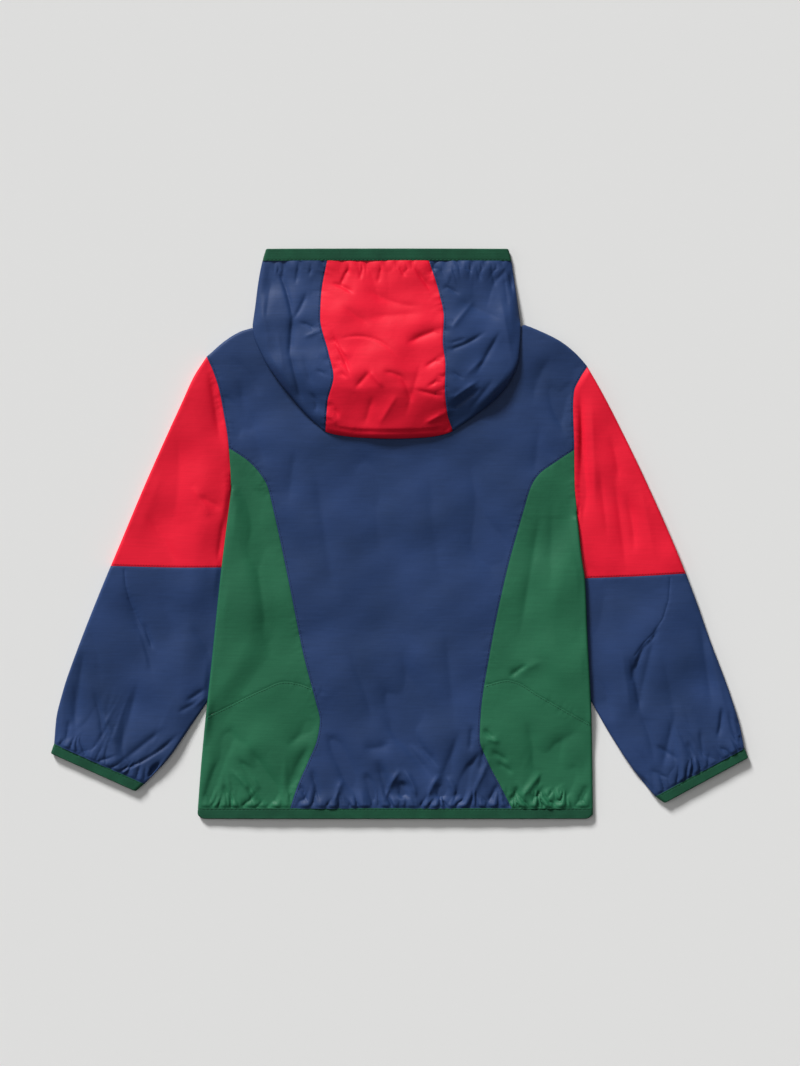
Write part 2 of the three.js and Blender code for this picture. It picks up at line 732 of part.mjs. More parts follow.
function bodyPieces() {
  let cloth = tubeWall(bodyStations, bodySectionAt, CLOTH, 1);
  const cuts = [
    upTo(HEM_SEAM_Y + HALF_GAP, -1),
    prism(
      regionBeyond(
        shifted(lineAlongY(LEFT_ARMHOLE, LEFT_UNDERARM_Y - 3, 189, CUT_STEP), HALF_GAP, 0),
        [-260, 200],
        [-260, LEFT_UNDERARM_Y - 3],
      ),
      ...THROUGH,
    ),
    prism(
      regionBeyond(
        shifted(lineAlongY(RIGHT_ARMHOLE, RIGHT_UNDERARM_Y - 3, 179, CUT_STEP), -HALF_GAP, 0),
        [260, 190],
        [260, RIGHT_UNDERARM_Y - 3],
      ),
      ...THROUGH,
    ),
    prism(
      regionBeyond(shifted(lineAlongX(BACK_NECK, -158, 132, CUT_STEP), 0, -HALF_GAP), [132, 240], [-158, 240]),
      SPLIT_Z - 0.05,
      THROUGH[1],
    ),
    prism(
      regionBeyond(shifted(lineAlongX(FRONT_NECK, -158, 132, CUT_STEP), 0, -HALF_GAP), [132, 240], [-158, 240]),
      THROUGH[0],
      SPLIT_Z + 0.05,
    ),
    blade(lineAlongY(LEFT_BACK_SEAM, -276, 89, CUT_STEP), ...THROUGH),
    blade(lineAlongY(RIGHT_BACK_SEAM, -276, 88, CUT_STEP), ...THROUGH),
    blade(lineAlongX(LEFT_ACROSS_SEAM, -210, meetingX(LEFT_ACROSS_SEAM, LEFT_BACK_SEAM), CUT_STEP), ...THROUGH),
    blade(lineAlongX(RIGHT_ACROSS_SEAM, meetingX(RIGHT_ACROSS_SEAM, RIGHT_BACK_SEAM), 205, CUT_STEP), ...THROUGH),
    blade(
      [new THREE.Vector2(ZIP_X, -290), new THREE.Vector2(ZIP_X, 220)],
      THROUGH[0],
      SPLIT_Z,
      ZIP_GAP,
    ),
    blade(shoulderSeam(LEFT_SHOULDER, 1), THROUGH[0], SPLIT_Z - 0.4),
    blade(shoulderSeam(RIGHT_SHOULDER, -1), THROUGH[0], SPLIT_Z - 0.4),
  ];
  for (const cut of cuts) cloth = cloth.subtract(cut);
  return cloth.decompose();
}

// The shoulder seam lies on the front, beside the shoulder fold.
function shoulderSeam(table, towardsMiddle) {
  const fold = table.filter(({ y }) => y > 150).map(pointOf);
  return fold.map((point, i) => {
    const run = fold[Math.min(fold.length - 1, i + 1)].clone().sub(fold[Math.max(0, i - 1)]).normalize();
    const inwards = new THREE.Vector2(run.y * towardsMiddle, -run.x * towardsMiddle);
    return point.clone().addScaledVector(inwards, SHOULDER_ROLL);
  });
}

// The piece of cloth that holds a point, given as x, y and layer height range.
function pieceAt(pieces, x, y, low, high) {
  const probe = prism(
    [
      [-1, -1],
      [1, -1],
      [1, 1],
      [-1, 1],
    ].map(([dx, dy]) => new THREE.Vector2(x + dx, y + dy)),
    low,
    high,
  );
  return pieces.find((piece) => piece.intersect(probe).volume() > 0.1);
}

// The hem's binding goes round both layers and stops at the zip.
function hemBinding() {
  const section = (y) => ({
    ...bodySection(y),
    columns: evenShares(14),
    underColumns: evenShares(6),
    top: (x, _y) => BINDING_PROUD + mix(BODY_EDGE_HEIGHT, BODY_MID_HEIGHT, smooth(Math.min(x - leftEdge(y), rightEdge(y) - x) / 70)),
    under: () => 0,
    rim: BODY_RIM + 0.6,
  });
  const stations = [HEM_EDGE_Y, (HEM_SEAM_Y + HEM_EDGE_Y) / 2, HEM_SEAM_Y - HALF_GAP];
  const ring = tubeWall(stations, section, BINDING_WALL);
  const zipSlot = blade(
    [new THREE.Vector2(ZIP_X, -290), new THREE.Vector2(ZIP_X, -260)],
    THROUGH[0],
    BINDING_WALL + 0.3,
    ZIP_GAP,
  );
  return ring.subtract(zipSlot);
}

// The sleeves

// A sleeve as functions of its side: its rows, the body's edge beside it and the seam across it.
const SIDES = {
  left: {
    outwards: -1,
    rows: LEFT_SLEEVE,
    underarm: LEFT_UNDERARM_Y,
    edge: (y) => (y <= LEFT_UNDERARM_Y ? leftSide(y) : leftArmhole(y)),
    armhole: leftArmhole,
    gathers: LEFT_CUFF_GATHERS,
    seam: lineAlongX(LEFT_SLEEVE_SEAM, -320, -130, 30),
  },
  right: {
    outwards: 1,
    rows: RIGHT_SLEEVE,
    underarm: RIGHT_UNDERARM_Y,
    edge: (y) => (y <= RIGHT_UNDERARM_Y ? rightSide(y) : rightArmhole(y)),
    armhole: rightArmhole,
    gathers: RIGHT_CUFF_GATHERS,
    seam: lineAlongX(RIGHT_SLEEVE_SEAM, 130, 320, 30),
  },
};
const CUFF_STATION = LEFT_SLEEVE.length - 1;
const LEAST_LEAN = 0.22; // of a section that meets the edge of the cloth at a slant

function sleeveForm({ outwards, rows, underarm, edge, armhole, gathers }) {
  const numbered = rows.map((row, station) => ({ ...row, station }));
  const track = (name) => curveThrough(numbered, "station", name);
  const [outerX, outerY, innerX, innerY] = ["outerX", "outerY", "innerX", "innerY"].map(track);
  const cuff = numbered[CUFF_STATION];
  const cuffStart = new THREE.Vector2(cuff.outerX, cuff.outerY);
  const cuffRun = new THREE.Vector2(cuff.innerX - cuff.outerX, cuff.innerY - cuff.outerY);
  const cuffLength = cuffRun.length();
  const cuffGathers = gathersAlong(cuffLength, gathers);
  const alongCuff = cuffRun.clone().normalize();
  const upFromCuff = new THREE.Vector2(alongCuff.y * outwards, -alongCuff.x * outwards);

  const plainTop = (x, y) => {
    const beside = (x - edge(y)) * outwards;
    const joined = smooth((y - underarm - 6) / 40);
    const atBody = mix(TUCK_HEIGHT, bodyTop(armhole(y), y), joined);
    return mix(atBody, SLEEVE_HEIGHT, smooth(beside / 30));
  };
  const top = (x, y) => {
    const fromCuff = new THREE.Vector2(x - cuff.outerX, y - cuff.outerY);
    const distance = Math.abs(fromCuff.dot(upFromCuff));
    const along = fromCuff.dot(alongCuff);
    const beside = (x - edge(y)) * outwards;
    const calm = smooth(beside / 8);
    const gather = distance < 40 ? gatherHeight(cuffGathers, along, distance) : 0;
    return plainTop(x, y) + calm * (gather - foldDepth(SLEEVE_FOLDS, x, y));
  };

  // A section across the sleeve at a station, which bows with the armhole near the shoulder.
  const sectionAt = (station, _wall, columns = evenShares(7)) => {
    const left = new THREE.Vector2(outerX(station), outerY(station));
    const right = new THREE.Vector2(innerX(station), innerY(station));
    const follow = 1 - smooth(station / 2);
    const bend = (share) => {
      const y = mix(rows[0].outerY, rows[0].innerY, share);
      return follow * (armhole(y) - mix(rows[0].outerX, rows[0].innerX, share));
    };
    const across = right.clone().sub(left).normalize();
    const leanAt = (trackX, trackY) => {
      const run = new THREE.Vector2(
        trackX(station + 0.3) - trackX(station - 0.3),
        trackY(station + 0.3) - trackY(station - 0.3),
      ).normalize();
      return Math.max(LEAST_LEAN, Math.abs(across.cross(run)));
    };
    return {
      left,
      right,
      bend,
      lean: [leanAt(outerX, outerY), leanAt(innerX, innerY)],
      columns,
      underColumns: evenShares(4),
      rim: SLEEVE_RIM,
      top,
      under: () => 0,
    };
  };
  return { sectionAt, cuffStart, cuffRun, cuffLength, cuffGathers, upFromCuff, plainTop };
}

// Cuff rows are close together at the gathers.
const CUFF_ROWS = [
  { back: 1.0, perGather: 1 },
  { back: 0.5, perGather: 2 },
  { back: 0.2, perGather: 3 },
  { back: 0.006, perGather: 3 },
];
const sleeveStations = [0.004, 0.6, 1.2, 1.8, 2.5, 3.3, 4.1, 5, 5.9, 6.9, 8];

function sleevePieces(side) {
  const form = sleeveForm(side);
  const stations = [...sleeveStations, ...CUFF_ROWS.map(({ back }) => CUFF_STATION - back)];
  const columnsAt = (station) => {
    const row = CUFF_ROWS.find(({ back }) => Math.abs(CUFF_STATION - back - station) < 0.11);
    return row && gatherColumns(form.cuffGathers, row.perGather).map((place) => place / form.cuffLength);
  };
  const sectionAt = (station, wall) => form.sectionAt(station, wall, columnsAt(station));
  const shoulderCut = prism(
    side.outwards < 0
      ? regionBeyond(
          shifted(lineAlongY(LEFT_ARMHOLE, side.underarm - 1, 189, CUT_STEP), -HALF_GAP, 0),
          [-100, 189],
          [-100, side.underarm - 1],
        )
      : regionBeyond(
          shifted(lineAlongY(RIGHT_ARMHOLE, side.underarm - 1, 179, CUT_STEP), HALF_GAP, 0),
          [100, 179],
          [100, side.underarm - 1],
        ),
    ...THROUGH,
  );
  const [cuffA, cuffB] = [-0.3, 1.3].map((share) =>
    form.cuffStart.clone().addScaledVector(form.cuffRun, share).addScaledVector(form.upFromCuff, HALF_GAP),
  );
  const below = form.upFromCuff.clone().multiplyScalar(-20);
  const cuffCut = prism([cuffA, cuffB, cuffB.clone().add(below), cuffA.clone().add(below)], ...THROUGH);
  const cloth = tubeWall(stations, sectionAt, CLOTH, 0.05, 0.05)
    .subtract(shoulderCut)
    .subtract(cuffCut)
    .subtract(blade(side.seam, ...THROUGH));
  return { form, pieces: cloth.decompose() };
}

function cuffBinding(form) {
  const sectionAt = (distance) => {
    const start = form.cuffStart.clone().addScaledVector(form.upFromCuff, -distance);
    const inwards = form.cuffRun.clone().normalize();
    return {
      left: start.clone().addScaledVector(inwards, 0.1 * distance),
      right: start.clone().add(form.cuffRun).addScaledVector(inwards, -0.5 * distance),
      columns: evenShares(6),
      underColumns: evenShares(4),
      rim: SLEEVE_RIM + 0.8,
      top: (x, y) => form.plainTop(x, y) + BINDING_PROUD,
      under: () => 0,
    };
  };
  return tubeWall([HALF_GAP, CUFF_WIDTH / 2, CUFF_WIDTH], sectionAt, BINDING_WALL);
}

// The hood

const hoodLeft = curveThrough(HOOD_ROWS, "y", "left");
const hoodRight = curveThrough(HOOD_ROWS, "y", "right");
const hoodCrest = curveThrough(HOOD_ROWS, "y", "crest");
const hoodGathers = gathersAlong(hoodRight(HOOD_SEAM_Y) - hoodLeft(HOOD_SEAM_Y), HOOD_GATHERS);

// Below the neck the hood's under layer lies on the back, and above it on the surface under the jacket.
function hoodUnder(x, y) {
  const onBack = bodyTop(x, Math.min(y, 200)) + HOOD_REST;
  return onBack * (1 - smooth((y - HOOD_SPLIT_Y) / HOOD_SPLIT_REACH));
}
function hoodPlainTop(x, y) {
  const middle = (hoodLeft(y) + hoodRight(y)) / 2;
  const half = Math.max(30, (hoodRight(y) - hoodLeft(y)) / 2);
  return hoodCrest(y) * (1 - 0.16 * Math.min(1, Math.abs((x - middle) / half)) ** 2);
}
function hoodTop(x, y) {
  const inside = Math.min(x - hoodLeft(y), hoodRight(y) - x, y - 95);
  const calm = smooth((inside - 3) / 14);
  const gather = gatherHeight(hoodGathers, x - hoodLeft(HOOD_SEAM_Y), HOOD_SEAM_Y - y);
  return hoodPlainTop(x, y) + calm * (gather - foldDepth(HOOD_FOLDS, x, y));
}

// The hood's outline taken in by a depth, as rows of left and right edge places.
function hoodOutline(depth) {
  const side = (name, sign) => {
    const points = HOOD_ROWS.map((row) => ({ x: row[name], y: row.y }));
    return points.map((point, i) => {
      const before = points[Math.max(0, i - 1)];
      const after = points[Math.min(points.length - 1, i + 1)];
      const run = i === 0 ? new THREE.Vector2(sign, 0) : new THREE.Vector2(after.x - before.x, after.y - before.y);
      run.normalize();
      if (i === 0) return { x: point.x, y: point.y + depth };
      return { x: point.x - sign * Math.abs(run.y) * depth, y: point.y + Math.abs(run.x) * depth };
    });
  };
  return { left: side("left", -1), right: side("right", 1) };
}

const hoodLower = [
  ...lineAlongY(HOOD_ROWS.map(({ y, left }) => ({ y, x: left })), 206, 95, 3),
  ...lineAlongY(HOOD_ROWS.map(({ y, right }) => ({ y, x: right })), 95, 206, 3),
];

const HOOD_SHARES = [0, 0.08, 0.22, 0.42, 0.7, 1.1, 1.7, 2.5, 3.6];
const HOOD_UPPER_ROWS = [
  { below: 0.15, perGather: 3 },
  { below: 5, perGather: 3 },
  { below: 13, perGather: 1 },
];
const hoodSpan = hoodRight(HOOD_SEAM_Y) - hoodLeft(HOOD_SEAM_Y);
const hoodStations = [
  ...HOOD_SHARES.map((share) => 95 + 16 * share),
  ...[170, 188, 201, 208, 212, 216, 230, 245],
  ...HOOD_UPPER_ROWS.map(({ below }) => HOOD_SEAM_Y - below).reverse(),
];
function hoodSection(y, wall = 0) {
  const outline = hoodOutline(wall);
  const left = curveThrough(outline.left, "y", "x");
  const right = curveThrough(outline.right, "y", "x");
  const row = HOOD_UPPER_ROWS.find(({ below }) => Math.abs(HOOD_SEAM_Y - below - y) < 2.001);
  const fold = y < 200;
  return {
    left: new THREE.Vector2(left(y), y),
    right: new THREE.Vector2(right(y), y),
    columns: row
      ? gatherColumns(hoodGathers, row.perGather).map((place) => place / hoodSpan)
      : evenShares(11),
    underColumns: evenShares(6),
    rim: HOOD_RIM,
    distance: fold ? (x, py) => distanceTo(hoodLower, x, py) : undefined,
    top: hoodTop,
    under: hoodUnder,
  };
}

// A hood section whose edges are already taken in keeps its edge points where they are.
function hoodRow(y, wall) {
  const section = hoodSection(y, wall);
  const width = section.right.x - section.left.x;
  const inner = HOOD_RIM - wall;
  const roundings = [0, 0.12, 0.5, 1].map((share) => share * inner);
  const points = (shares, side) => {
    const wide = width > 3 * inner;
    const near = wide ? roundings.map((distance) => distance / width) : [0];
    const far = wide ? roundings.map((distance) => 1 - distance / width).reverse() : [1];
    const middle = shares.filter(
      (share) => share > near[near.length - 1] + 0.004 && share < far[0] - 0.004,
    );
    const all = [...near, ...middle, ...far];
    return all.map((share, index) => {
      const x = mix(section.left.x, section.right.x, share);
      const atEdge = index === 0 || index === all.length - 1;
      const fromSide = Math.min(share, 1 - share) * width;
      const fromFold = section.distance ? section.distance(x, y) - wall : Infinity;
      const distance = atEdge ? 0 : Math.max(0, Math.min(inner, fromSide, fromFold));
      const swell = Math.sqrt(1 - (1 - distance / inner) ** 2);
      const high = section.top(x, y);
      const low = section.under(x, y);
      const half = (high - low) / 2 - wall;
      return { t: share, p: new THREE.Vector3(x, y, (high + low) / 2 + side * half * swell) };
    });
  };
  return { top: points(section.columns, 1), under: points(section.underColumns, -1) };
}

const HOOD_MIDDLE_X = ZIP_X;

// The underside's face edge, on one side, from the chin to the top corner, moved in by a distance.
function faceEdge(sign, moved) {
  const points = FACE_EDGE.map(({ y, out }) => {
    const reach = sign < 0 ? HOOD_MIDDLE_X - hoodLeft(y) : hoodRight(y) - HOOD_MIDDLE_X;
    return new THREE.Vector2(HOOD_MIDDLE_X + sign * Math.max(reach * out, ZIP_GAP / 2), y);
  });
  const curve = new THREE.SplineCurve(points).getPoints(22);
  return curve.map((point, i) => {
    const before = curve[Math.max(0, i - 1)];
    const after = curve[Math.min(curve.length - 1, i + 1)];
    const run = after.clone().sub(before).normalize();
    return new THREE.Vector2(point.x + sign * run.y * moved, point.y - sign * run.x * moved);
  });
}

// The part of a hood side that lies under it, in front of the neck, flat on the surface.
function hoodFront(sign) {
  const edge = sign < 0 ? hoodLeft : hoodRight;
  const neck = lineAlongX(FRONT_NECK, ZIP_X + (sign * ZIP_GAP) / 2, sign < 0 ? -139 : 113, CUT_STEP);
  const side = [216, 230, 244, 258, HOOD_SEAM_Y - HALF_GAP].map(
    (y) => new THREE.Vector2(edge(y) - sign * (HOOD_RIM + 2), y),
  );
  const face = faceEdge(sign, FACE_BINDING_WIDTH + HALF_GAP).filter(
    (p) => p.y < HOOD_SEAM_Y - 3 && (p.x - ZIP_X) * sign > ZIP_GAP / 2 + 0.5,
  );
  const top = new THREE.Vector2(face[face.length - 1].x, HOOD_SEAM_Y - HALF_GAP);
  const chin = new THREE.Vector2(ZIP_X + (sign * ZIP_GAP) / 2, face[0].y);
  return prism([...shifted(neck, 0, HALF_GAP), ...side, top, ...face.reverse(), chin], 0, CLOTH);
}

// The binding goes along the hood's top edge, round both corners and down the face edges to the zip.
function hoodBinding() {
  const section = (y) => ({
    left: new THREE.Vector2(hoodLeft(y), y),
    right: new THREE.Vector2(hoodRight(y), y),
    columns: evenShares(10),
    underColumns: evenShares(6),
    rim: SLEEVE_RIM + 1,
    top: (x, _y) => hoodPlainTop(x, HOOD_SEAM_Y) + BINDING_PROUD,
    under: () => 0,
  });
  const stations = [HOOD_SEAM_Y + HALF_GAP, (HOOD_SEAM_Y + HOOD_EDGE_Y) / 2, HOOD_EDGE_Y];
  let binding = tubeWall(stations, section, BINDING_WALL);
  const leftFace = faceEdge(-1, 0);
  const rightFace = faceEdge(1, 0);
  const opening = prism([...leftFace, ...rightFace.reverse()], THROUGH[0], BINDING_WALL + 0.4);
  const topEdge = prism(
    [
      [leftFace[leftFace.length - 1].x, HOOD_SEAM_Y - 10],
      [rightFace[0].x, HOOD_SEAM_Y - 10],
      [rightFace[0].x, HOOD_EDGE_Y + 5],
      [leftFace[leftFace.length - 1].x, HOOD_EDGE_Y + 5],
    ].map(([x, y]) => new THREE.Vector2(x, y)),
    THROUGH[0],
    BINDING_WALL + 0.4,
  );
  binding = binding.subtract(opening).subtract(topEdge);
  for (const sign of [-1, 1]) {
    const inner = faceEdge(sign, 0);
    const outer = faceEdge(sign, FACE_BINDING_WIDTH);
    const keep = prism(
      [
        [ZIP_X + (sign * ZIP_GAP) / 2, 0],
        [ZIP_X + sign * 200, 0],
        [ZIP_X + sign * 200, HOOD_EDGE_Y],
        [ZIP_X + (sign * ZIP_GAP) / 2, HOOD_EDGE_Y],
      ].map(([x, y]) => new THREE.Vector2(x, y)),
      THROUGH[0],
      THROUGH[1],
    );
    binding = binding.add(prism([...inner, ...outer.reverse()], 0, BINDING_WALL).intersect(keep));
  }
  return binding;
}

function hoodPieces() {
  const stations = hoodStations;
  const last = stations.length - 1;
  const outer = loft(stations.map((y, i) => hoodRow(i === last ? y + 1 : y, 0)));
  const inside = stations.map((y, i) => {
    if (i === last) return y + 2;
    return y < 120 ? 95 + CLOTH + (y - 95) * (1 - CLOTH / 25) : y;
  });
  const inner = loft(inside.map((y) => hoodRow(y, CLOTH)));
  let cloth = outer.subtract(inner).subtract(upTo(HOOD_SEAM_Y - HALF_GAP, 1));

  // The neck and the face opening, cut out of the under layer only
  const underCut = prism(
    [
      ...shifted(lineAlongX(BACK_NECK, -134, 108, CUT_STEP), 0, HALF_GAP),
      new THREE.Vector2(113, 216),
      ...[230, 250, 275].map((y) => new THREE.Vector2(hoodRight(y) - HOOD_RIM - 5, y)),
      ...[275, 250, 230].map((y) => new THREE.Vector2(hoodLeft(y) + HOOD_RIM + 5, y)),
      new THREE.Vector2(-139, 216),
    ],
    THROUGH[0],
    3,
  );
  const neckCut = prism(
    [
      ...shifted(lineAlongX(BACK_NECK, -137, 111, CUT_STEP), 0, HALF_GAP),
      new THREE.Vector2(111, 224),
      new THREE.Vector2(-137, 224),
    ],
    THROUGH[0],
    11,
  );
  cloth = cloth.subtract(underCut).subtract(neckCut);
  cloth = cloth.add(hoodFront(-1)).add(hoodFront(1));
  const cut = [
    blade(lineAlongY(HOOD_LEFT_SEAM, 85, 276, CUT_STEP), 3.2, THROUGH[1]),
    blade(lineAlongY(HOOD_RIGHT_SEAM, 85, 276, CUT_STEP), 3.2, THROUGH[1]),
  ];
  for (const seam of cut) cloth = cloth.subtract(seam);
  return cloth.decompose();
}

const jacket = new THREE.Group();

// The vertices and triangles that cuts leave, without edges too short or triangles too thin to be worth a face.
const SHORTEST_EDGE = 0.03;
const THINNEST_TRIANGLE = 0.006;
const SHORT_SIDE = 0.4; // of a thin triangle whose corners can be joined
function withoutSlivers(solid) {
  const { vertProperties, triVerts, numProp } = solid.getMesh();
  const count = vertProperties.length / numProp;
  const places = Array.from({ length: count }, (_, i) => new THREE.Vector3().fromArray(vertProperties, i * numProp));
  let triangles = Array.from({ length: triVerts.length / 3 }, (_, t) => [...triVerts.slice(3 * t, 3 * t + 3)]);
  for (let round = 0; round < 3; round++) {
    triangles = withShortOnesJoined(places, triangles, round > 0);
    triangles = withThinOnesTurned(places, triangles);
  }
  return { places, triangles };
}

// The height of a triangle over the edge from a to b.
function heightOver(a, b, c) {
  const base = b.clone().sub(a);
  return base.clone().cross(c.clone().sub(a)).length() / base.length();
}

// Corners that are very close, or that make a thin triangle, are joined into one, where that folds nothing over.
function withShortOnesJoined(places, triangles, thinToo) {
  const joinedTo = places.map((_, i) => i);
  const rootOf = (i) => (joinedTo[i] === i ? i : (joinedTo[i] = rootOf(joinedTo[i])));
  const beside = places.map(() => new Set());
  for (const corners of triangles) {
    corners.forEach((a, k) => beside[a].add(corners[(k + 1) % 3]).add(corners[(k + 2) % 3]));
  }
  const join = (p, q) => {
    if ([...beside[p]].filter((corner) => beside[q].has(corner)).length !== 2) return;
    joinedTo[p] = q;
    for (const corner of beside[p]) {
      beside[corner].delete(p);
      if (corner !== q) {
        beside[corner].add(q);
        beside[q].add(corner);
      }
    }
  };
  for (const corners of triangles) {
    const sides = corners.map((a, k) => ({ a, b: corners[(k + 1) % 3] }));
    for (const side of sides) side.length = places[side.a].distanceTo(places[side.b]);
    sides.sort((p, q) => p.length - q.length);
    const [a, b, c] = corners.map((corner) => places[corner]);
    const thin = thinToo && heightOver(a, b, c) * a.distanceTo(b) < THINNEST_TRIANGLE * sides[2].length;
    for (const [k, side] of sides.entries()) {
      const short = side.length < SHORTEST_EDGE || (thin && k === 0 && side.length < SHORT_SIDE);
      const [p, q] = [rootOf(side.a), rootOf(side.b)];
      if (short && p !== q) join(Math.max(p, q), Math.min(p, q));
    }
  }
  return triangles
    .map((corners) => corners.map(rootOf))
    .filter((corners) => new Set(corners).size === 3);
}

// A thin triangle shares its long edge with a neighbour: the two are divided the other way instead.
function withThinOnesTurned(places, triangles) {
  const edge = (a, b) => a * places.length + b;
  const owner = new Map();
  const enter = (t) => triangles[t].forEach((a, k) => owner.set(edge(a, triangles[t][(k + 1) % 3]), t));
  triangles.forEach((_, t) => enter(t));
  for (let pass = 0; pass < 4; pass++) {
    triangles.forEach((corners, t) => {
      const lengths = corners.map((a, k) => places[a].distanceTo(places[corners[(k + 1) % 3]]));
      const k = lengths.indexOf(Math.max(...lengths));
      const [a, b, c] = [corners[k], corners[(k + 1) % 3], corners[(k + 2) % 3]];
      if (heightOver(places[a], places[b], places[c]) >= THINNEST_TRIANGLE) return;
      const other = owner.get(edge(b, a));
      if (other === undefined || other === t) return;
      const d = triangles[other].find((corner) => corner !== a && corner !== b);
      if (d === c || owner.has(edge(c, d)) || owner.has(edge(d, c))) return;
      owner.delete(edge(a, b));
      owner.delete(edge(b, a));
      triangles[t] = [a, d, c];
      triangles[other] = [d, b, c];
      enter(t);
      enter(other);
    });
  }
  return triangles;
}

// Adds a solid to the jacket as a named mesh with its own material.
function addPiece(name, solid, finish) {
  const { places, triangles } = withoutSlivers(solid);
  const geometry = new THREE.BufferGeometry().setFromPoints(places);
  geometry.setIndex(triangles.flat());
  geometry.computeVertexNormals();
  const mesh = new THREE.Mesh(geometry, new THREE.MeshStandardMaterial(finish));
  mesh.name = name;
  jacket.add(mesh);
}

// The zip

// How far the zip is held up at a place along it.
const zipLift = (y) => SLIDER_LIFT * smooth((y - (SLIDER_Y - 52)) / 26);

// A flat band along the zip, between two distances from the centre front and two heights.
function zipBand(stations, from, to, low, high) {
  const row = (y) => {
    const rise = zipLift(y);
    const at = (x, z, t) => ({ t, p: new THREE.Vector3(ZIP_X + x, y, z + rise) });
    const under = [at(from, low, 0), at(to, low, 1)];
    return { top: [under[0], at(from, high, 0.1), at(to, high, 0.9), under[1]], under };
  };
  return loft(stations.map(row));
}
function zipStations(from, to) {
  const between = [-150, 96, 102, 109, 115, 122].filter((y) => y > from && y < to);
  return [from, ...between, to];
}

function zipTape(sign) {
  const inner = CHAIN_WIDTH / 2 + SEAM_GAP;
  const edges = [sign * inner, sign * (inner + TAPE_WIDTH)].sort((a, b) => a - b);
  const from = HEM_SEAM_Y + HALF_GAP;
  return zipBand(zipStations(from, ZIP_TOP_Y), ...edges, CHAIN_HIGH - TAPE_THICK, CHAIN_HIGH);
}

function zipChain() {
  const half = CHAIN_WIDTH / 2;
  const top = SLIDER_Y + SLIDER_LENGTH / 2 - 3.2;
  return zipBand(zipStations(HEM_EDGE_Y + 1, top), -half, half, CHAIN_LOW, CHAIN_HIGH);
}

// A box by its middle, its size and its lowest height.
function block(x, y, width, length, low, high) {
  const geometry = new THREE.BoxGeometry(width, length, high - low);
  geometry.translate(x, y, (low + high) / 2);
  return solidFromGeometry(geometry);
}

// The slider: two plates with the post between them, and a bridge on its front for the pull.
const CHAIN_AT_SLIDER = [CHAIN_LOW + SLIDER_LIFT, CHAIN_HIGH + SLIDER_LIFT];
const PLATE_GAP = 0.2;
const frontPlate = [CHAIN_AT_SLIDER[0] - PLATE_GAP - SLIDER_PLATE, CHAIN_AT_SLIDER[0] - PLATE_GAP];
const backPlate = [CHAIN_AT_SLIDER[1] + PLATE_GAP, CHAIN_AT_SLIDER[1] + PLATE_GAP + SLIDER_PLATE];
const BRIDGE_WIDTH = 1.6;
const BRIDGE_LOW = 0.05;
const BRIDGE_WALL = 0.4;
function zipSlider() {
  const post = block(ZIP_X, SLIDER_Y + SLIDER_LENGTH / 2 - 1.5, 1.6, 2.4, frontPlate[0], backPlate[1]);
  let slider = post;
  for (const [low, high] of [frontPlate, backPlate]) {
    slider = slider.add(block(ZIP_X, SLIDER_Y, SLIDER_WIDTH, SLIDER_LENGTH, low, high));
  }
  const bar = block(ZIP_X, SLIDER_Y, BRIDGE_WIDTH, SLIDER_LENGTH - 2, BRIDGE_LOW, BRIDGE_LOW + BRIDGE_WALL);
  const ends = [-1, 1].map((sign) =>
    block(ZIP_X, SLIDER_Y + sign * (SLIDER_LENGTH / 2 - 1.5), BRIDGE_WIDTH, 1, BRIDGE_LOW, frontPlate[0] + 0.1),
  );
  return slider.add(bar).add(ends[0]).add(ends[1]);
}

// The pull tab hangs by a pin in the bridge and lies flat under the chain, towards the hem.
const PULL_PIN_Y = SLIDER_Y - 1.8;
const PULL_PIN_Z = 0.95;
const PULL_PIN_RADIUS = 0.42;
function zipPull() {
  const pin = new THREE.CylinderGeometry(PULL_PIN_RADIUS, PULL_PIN_RADIUS, PULL_WIDTH - 0.4, 12);
  pin.rotateZ(Math.PI / 2);
  pin.translate(ZIP_X, PULL_PIN_Y, PULL_PIN_Z);
  let pull = solidFromGeometry(pin);
  const low = PULL_PIN_Z - PULL_THICK / 2;
  const high = PULL_PIN_Z + PULL_THICK / 2;
  const armWidth = 1;
  for (const sign of [-1, 1]) {
    const x = ZIP_X + (sign * (PULL_WIDTH - armWidth)) / 2;
    pull = pull.add(block(x, PULL_PIN_Y - 2.7, armWidth, 6, low, high));
  }
  const tabEnd = PULL_PIN_Y - PULL_LENGTH;
  const tabStart = PULL_PIN_Y - 5;
  return pull.add(block(ZIP_X, (tabStart + tabEnd) / 2, PULL_WIDTH, tabStart - tabEnd, low, high));
}

const body = bodyPieces();
const LOWER_LAYER = [-0.5, 1];
const UPPER_LAYER = [4, 12];
const BODY_PANELS = [
  { name: "back_panel", x: 0, y: 0, layer: UPPER_LAYER, finish: NAVY },
  { name: "front_left", x: -60, y: 0, layer: LOWER_LAYER, finish: NAVY },
  { name: "front_right", x: 60, y: 0, layer: LOWER_LAYER, finish: NAVY },
  { name: "side_upper_left", x: -140, y: -60, layer: UPPER_LAYER, finish: GREEN },
  { name: "side_upper_right", x: 140, y: -60, layer: UPPER_LAYER, finish: GREEN },
  { name: "side_lower_left", x: -150, y: -220, layer: UPPER_LAYER, finish: GREEN },
  { name: "side_lower_right", x: 150, y: -220, layer: UPPER_LAYER, finish: GREEN },
];
for (const { name, x, y, layer, finish } of BODY_PANELS) {
  addPiece(name, pieceAt(body, x, y, ...layer), finish);
}
addPiece("hem_binding", hemBinding(), BINDING_GREEN);

for (const name of ["left", "right"]) {
  const side = SIDES[name];
  const { form, pieces } = sleevePieces(side);
  addPiece(`sleeve_upper_${name}`, pieceAt(pieces, side.outwards * 240, 20, ...UPPER_LAYER), RED);
  addPiece(`sleeve_lower_${name}`, pieceAt(pieces, side.outwards * 270, -120, ...UPPER_LAYER), NAVY);
  addPiece(`cuff_binding_${name}`, cuffBinding(form), BINDING_GREEN);
}

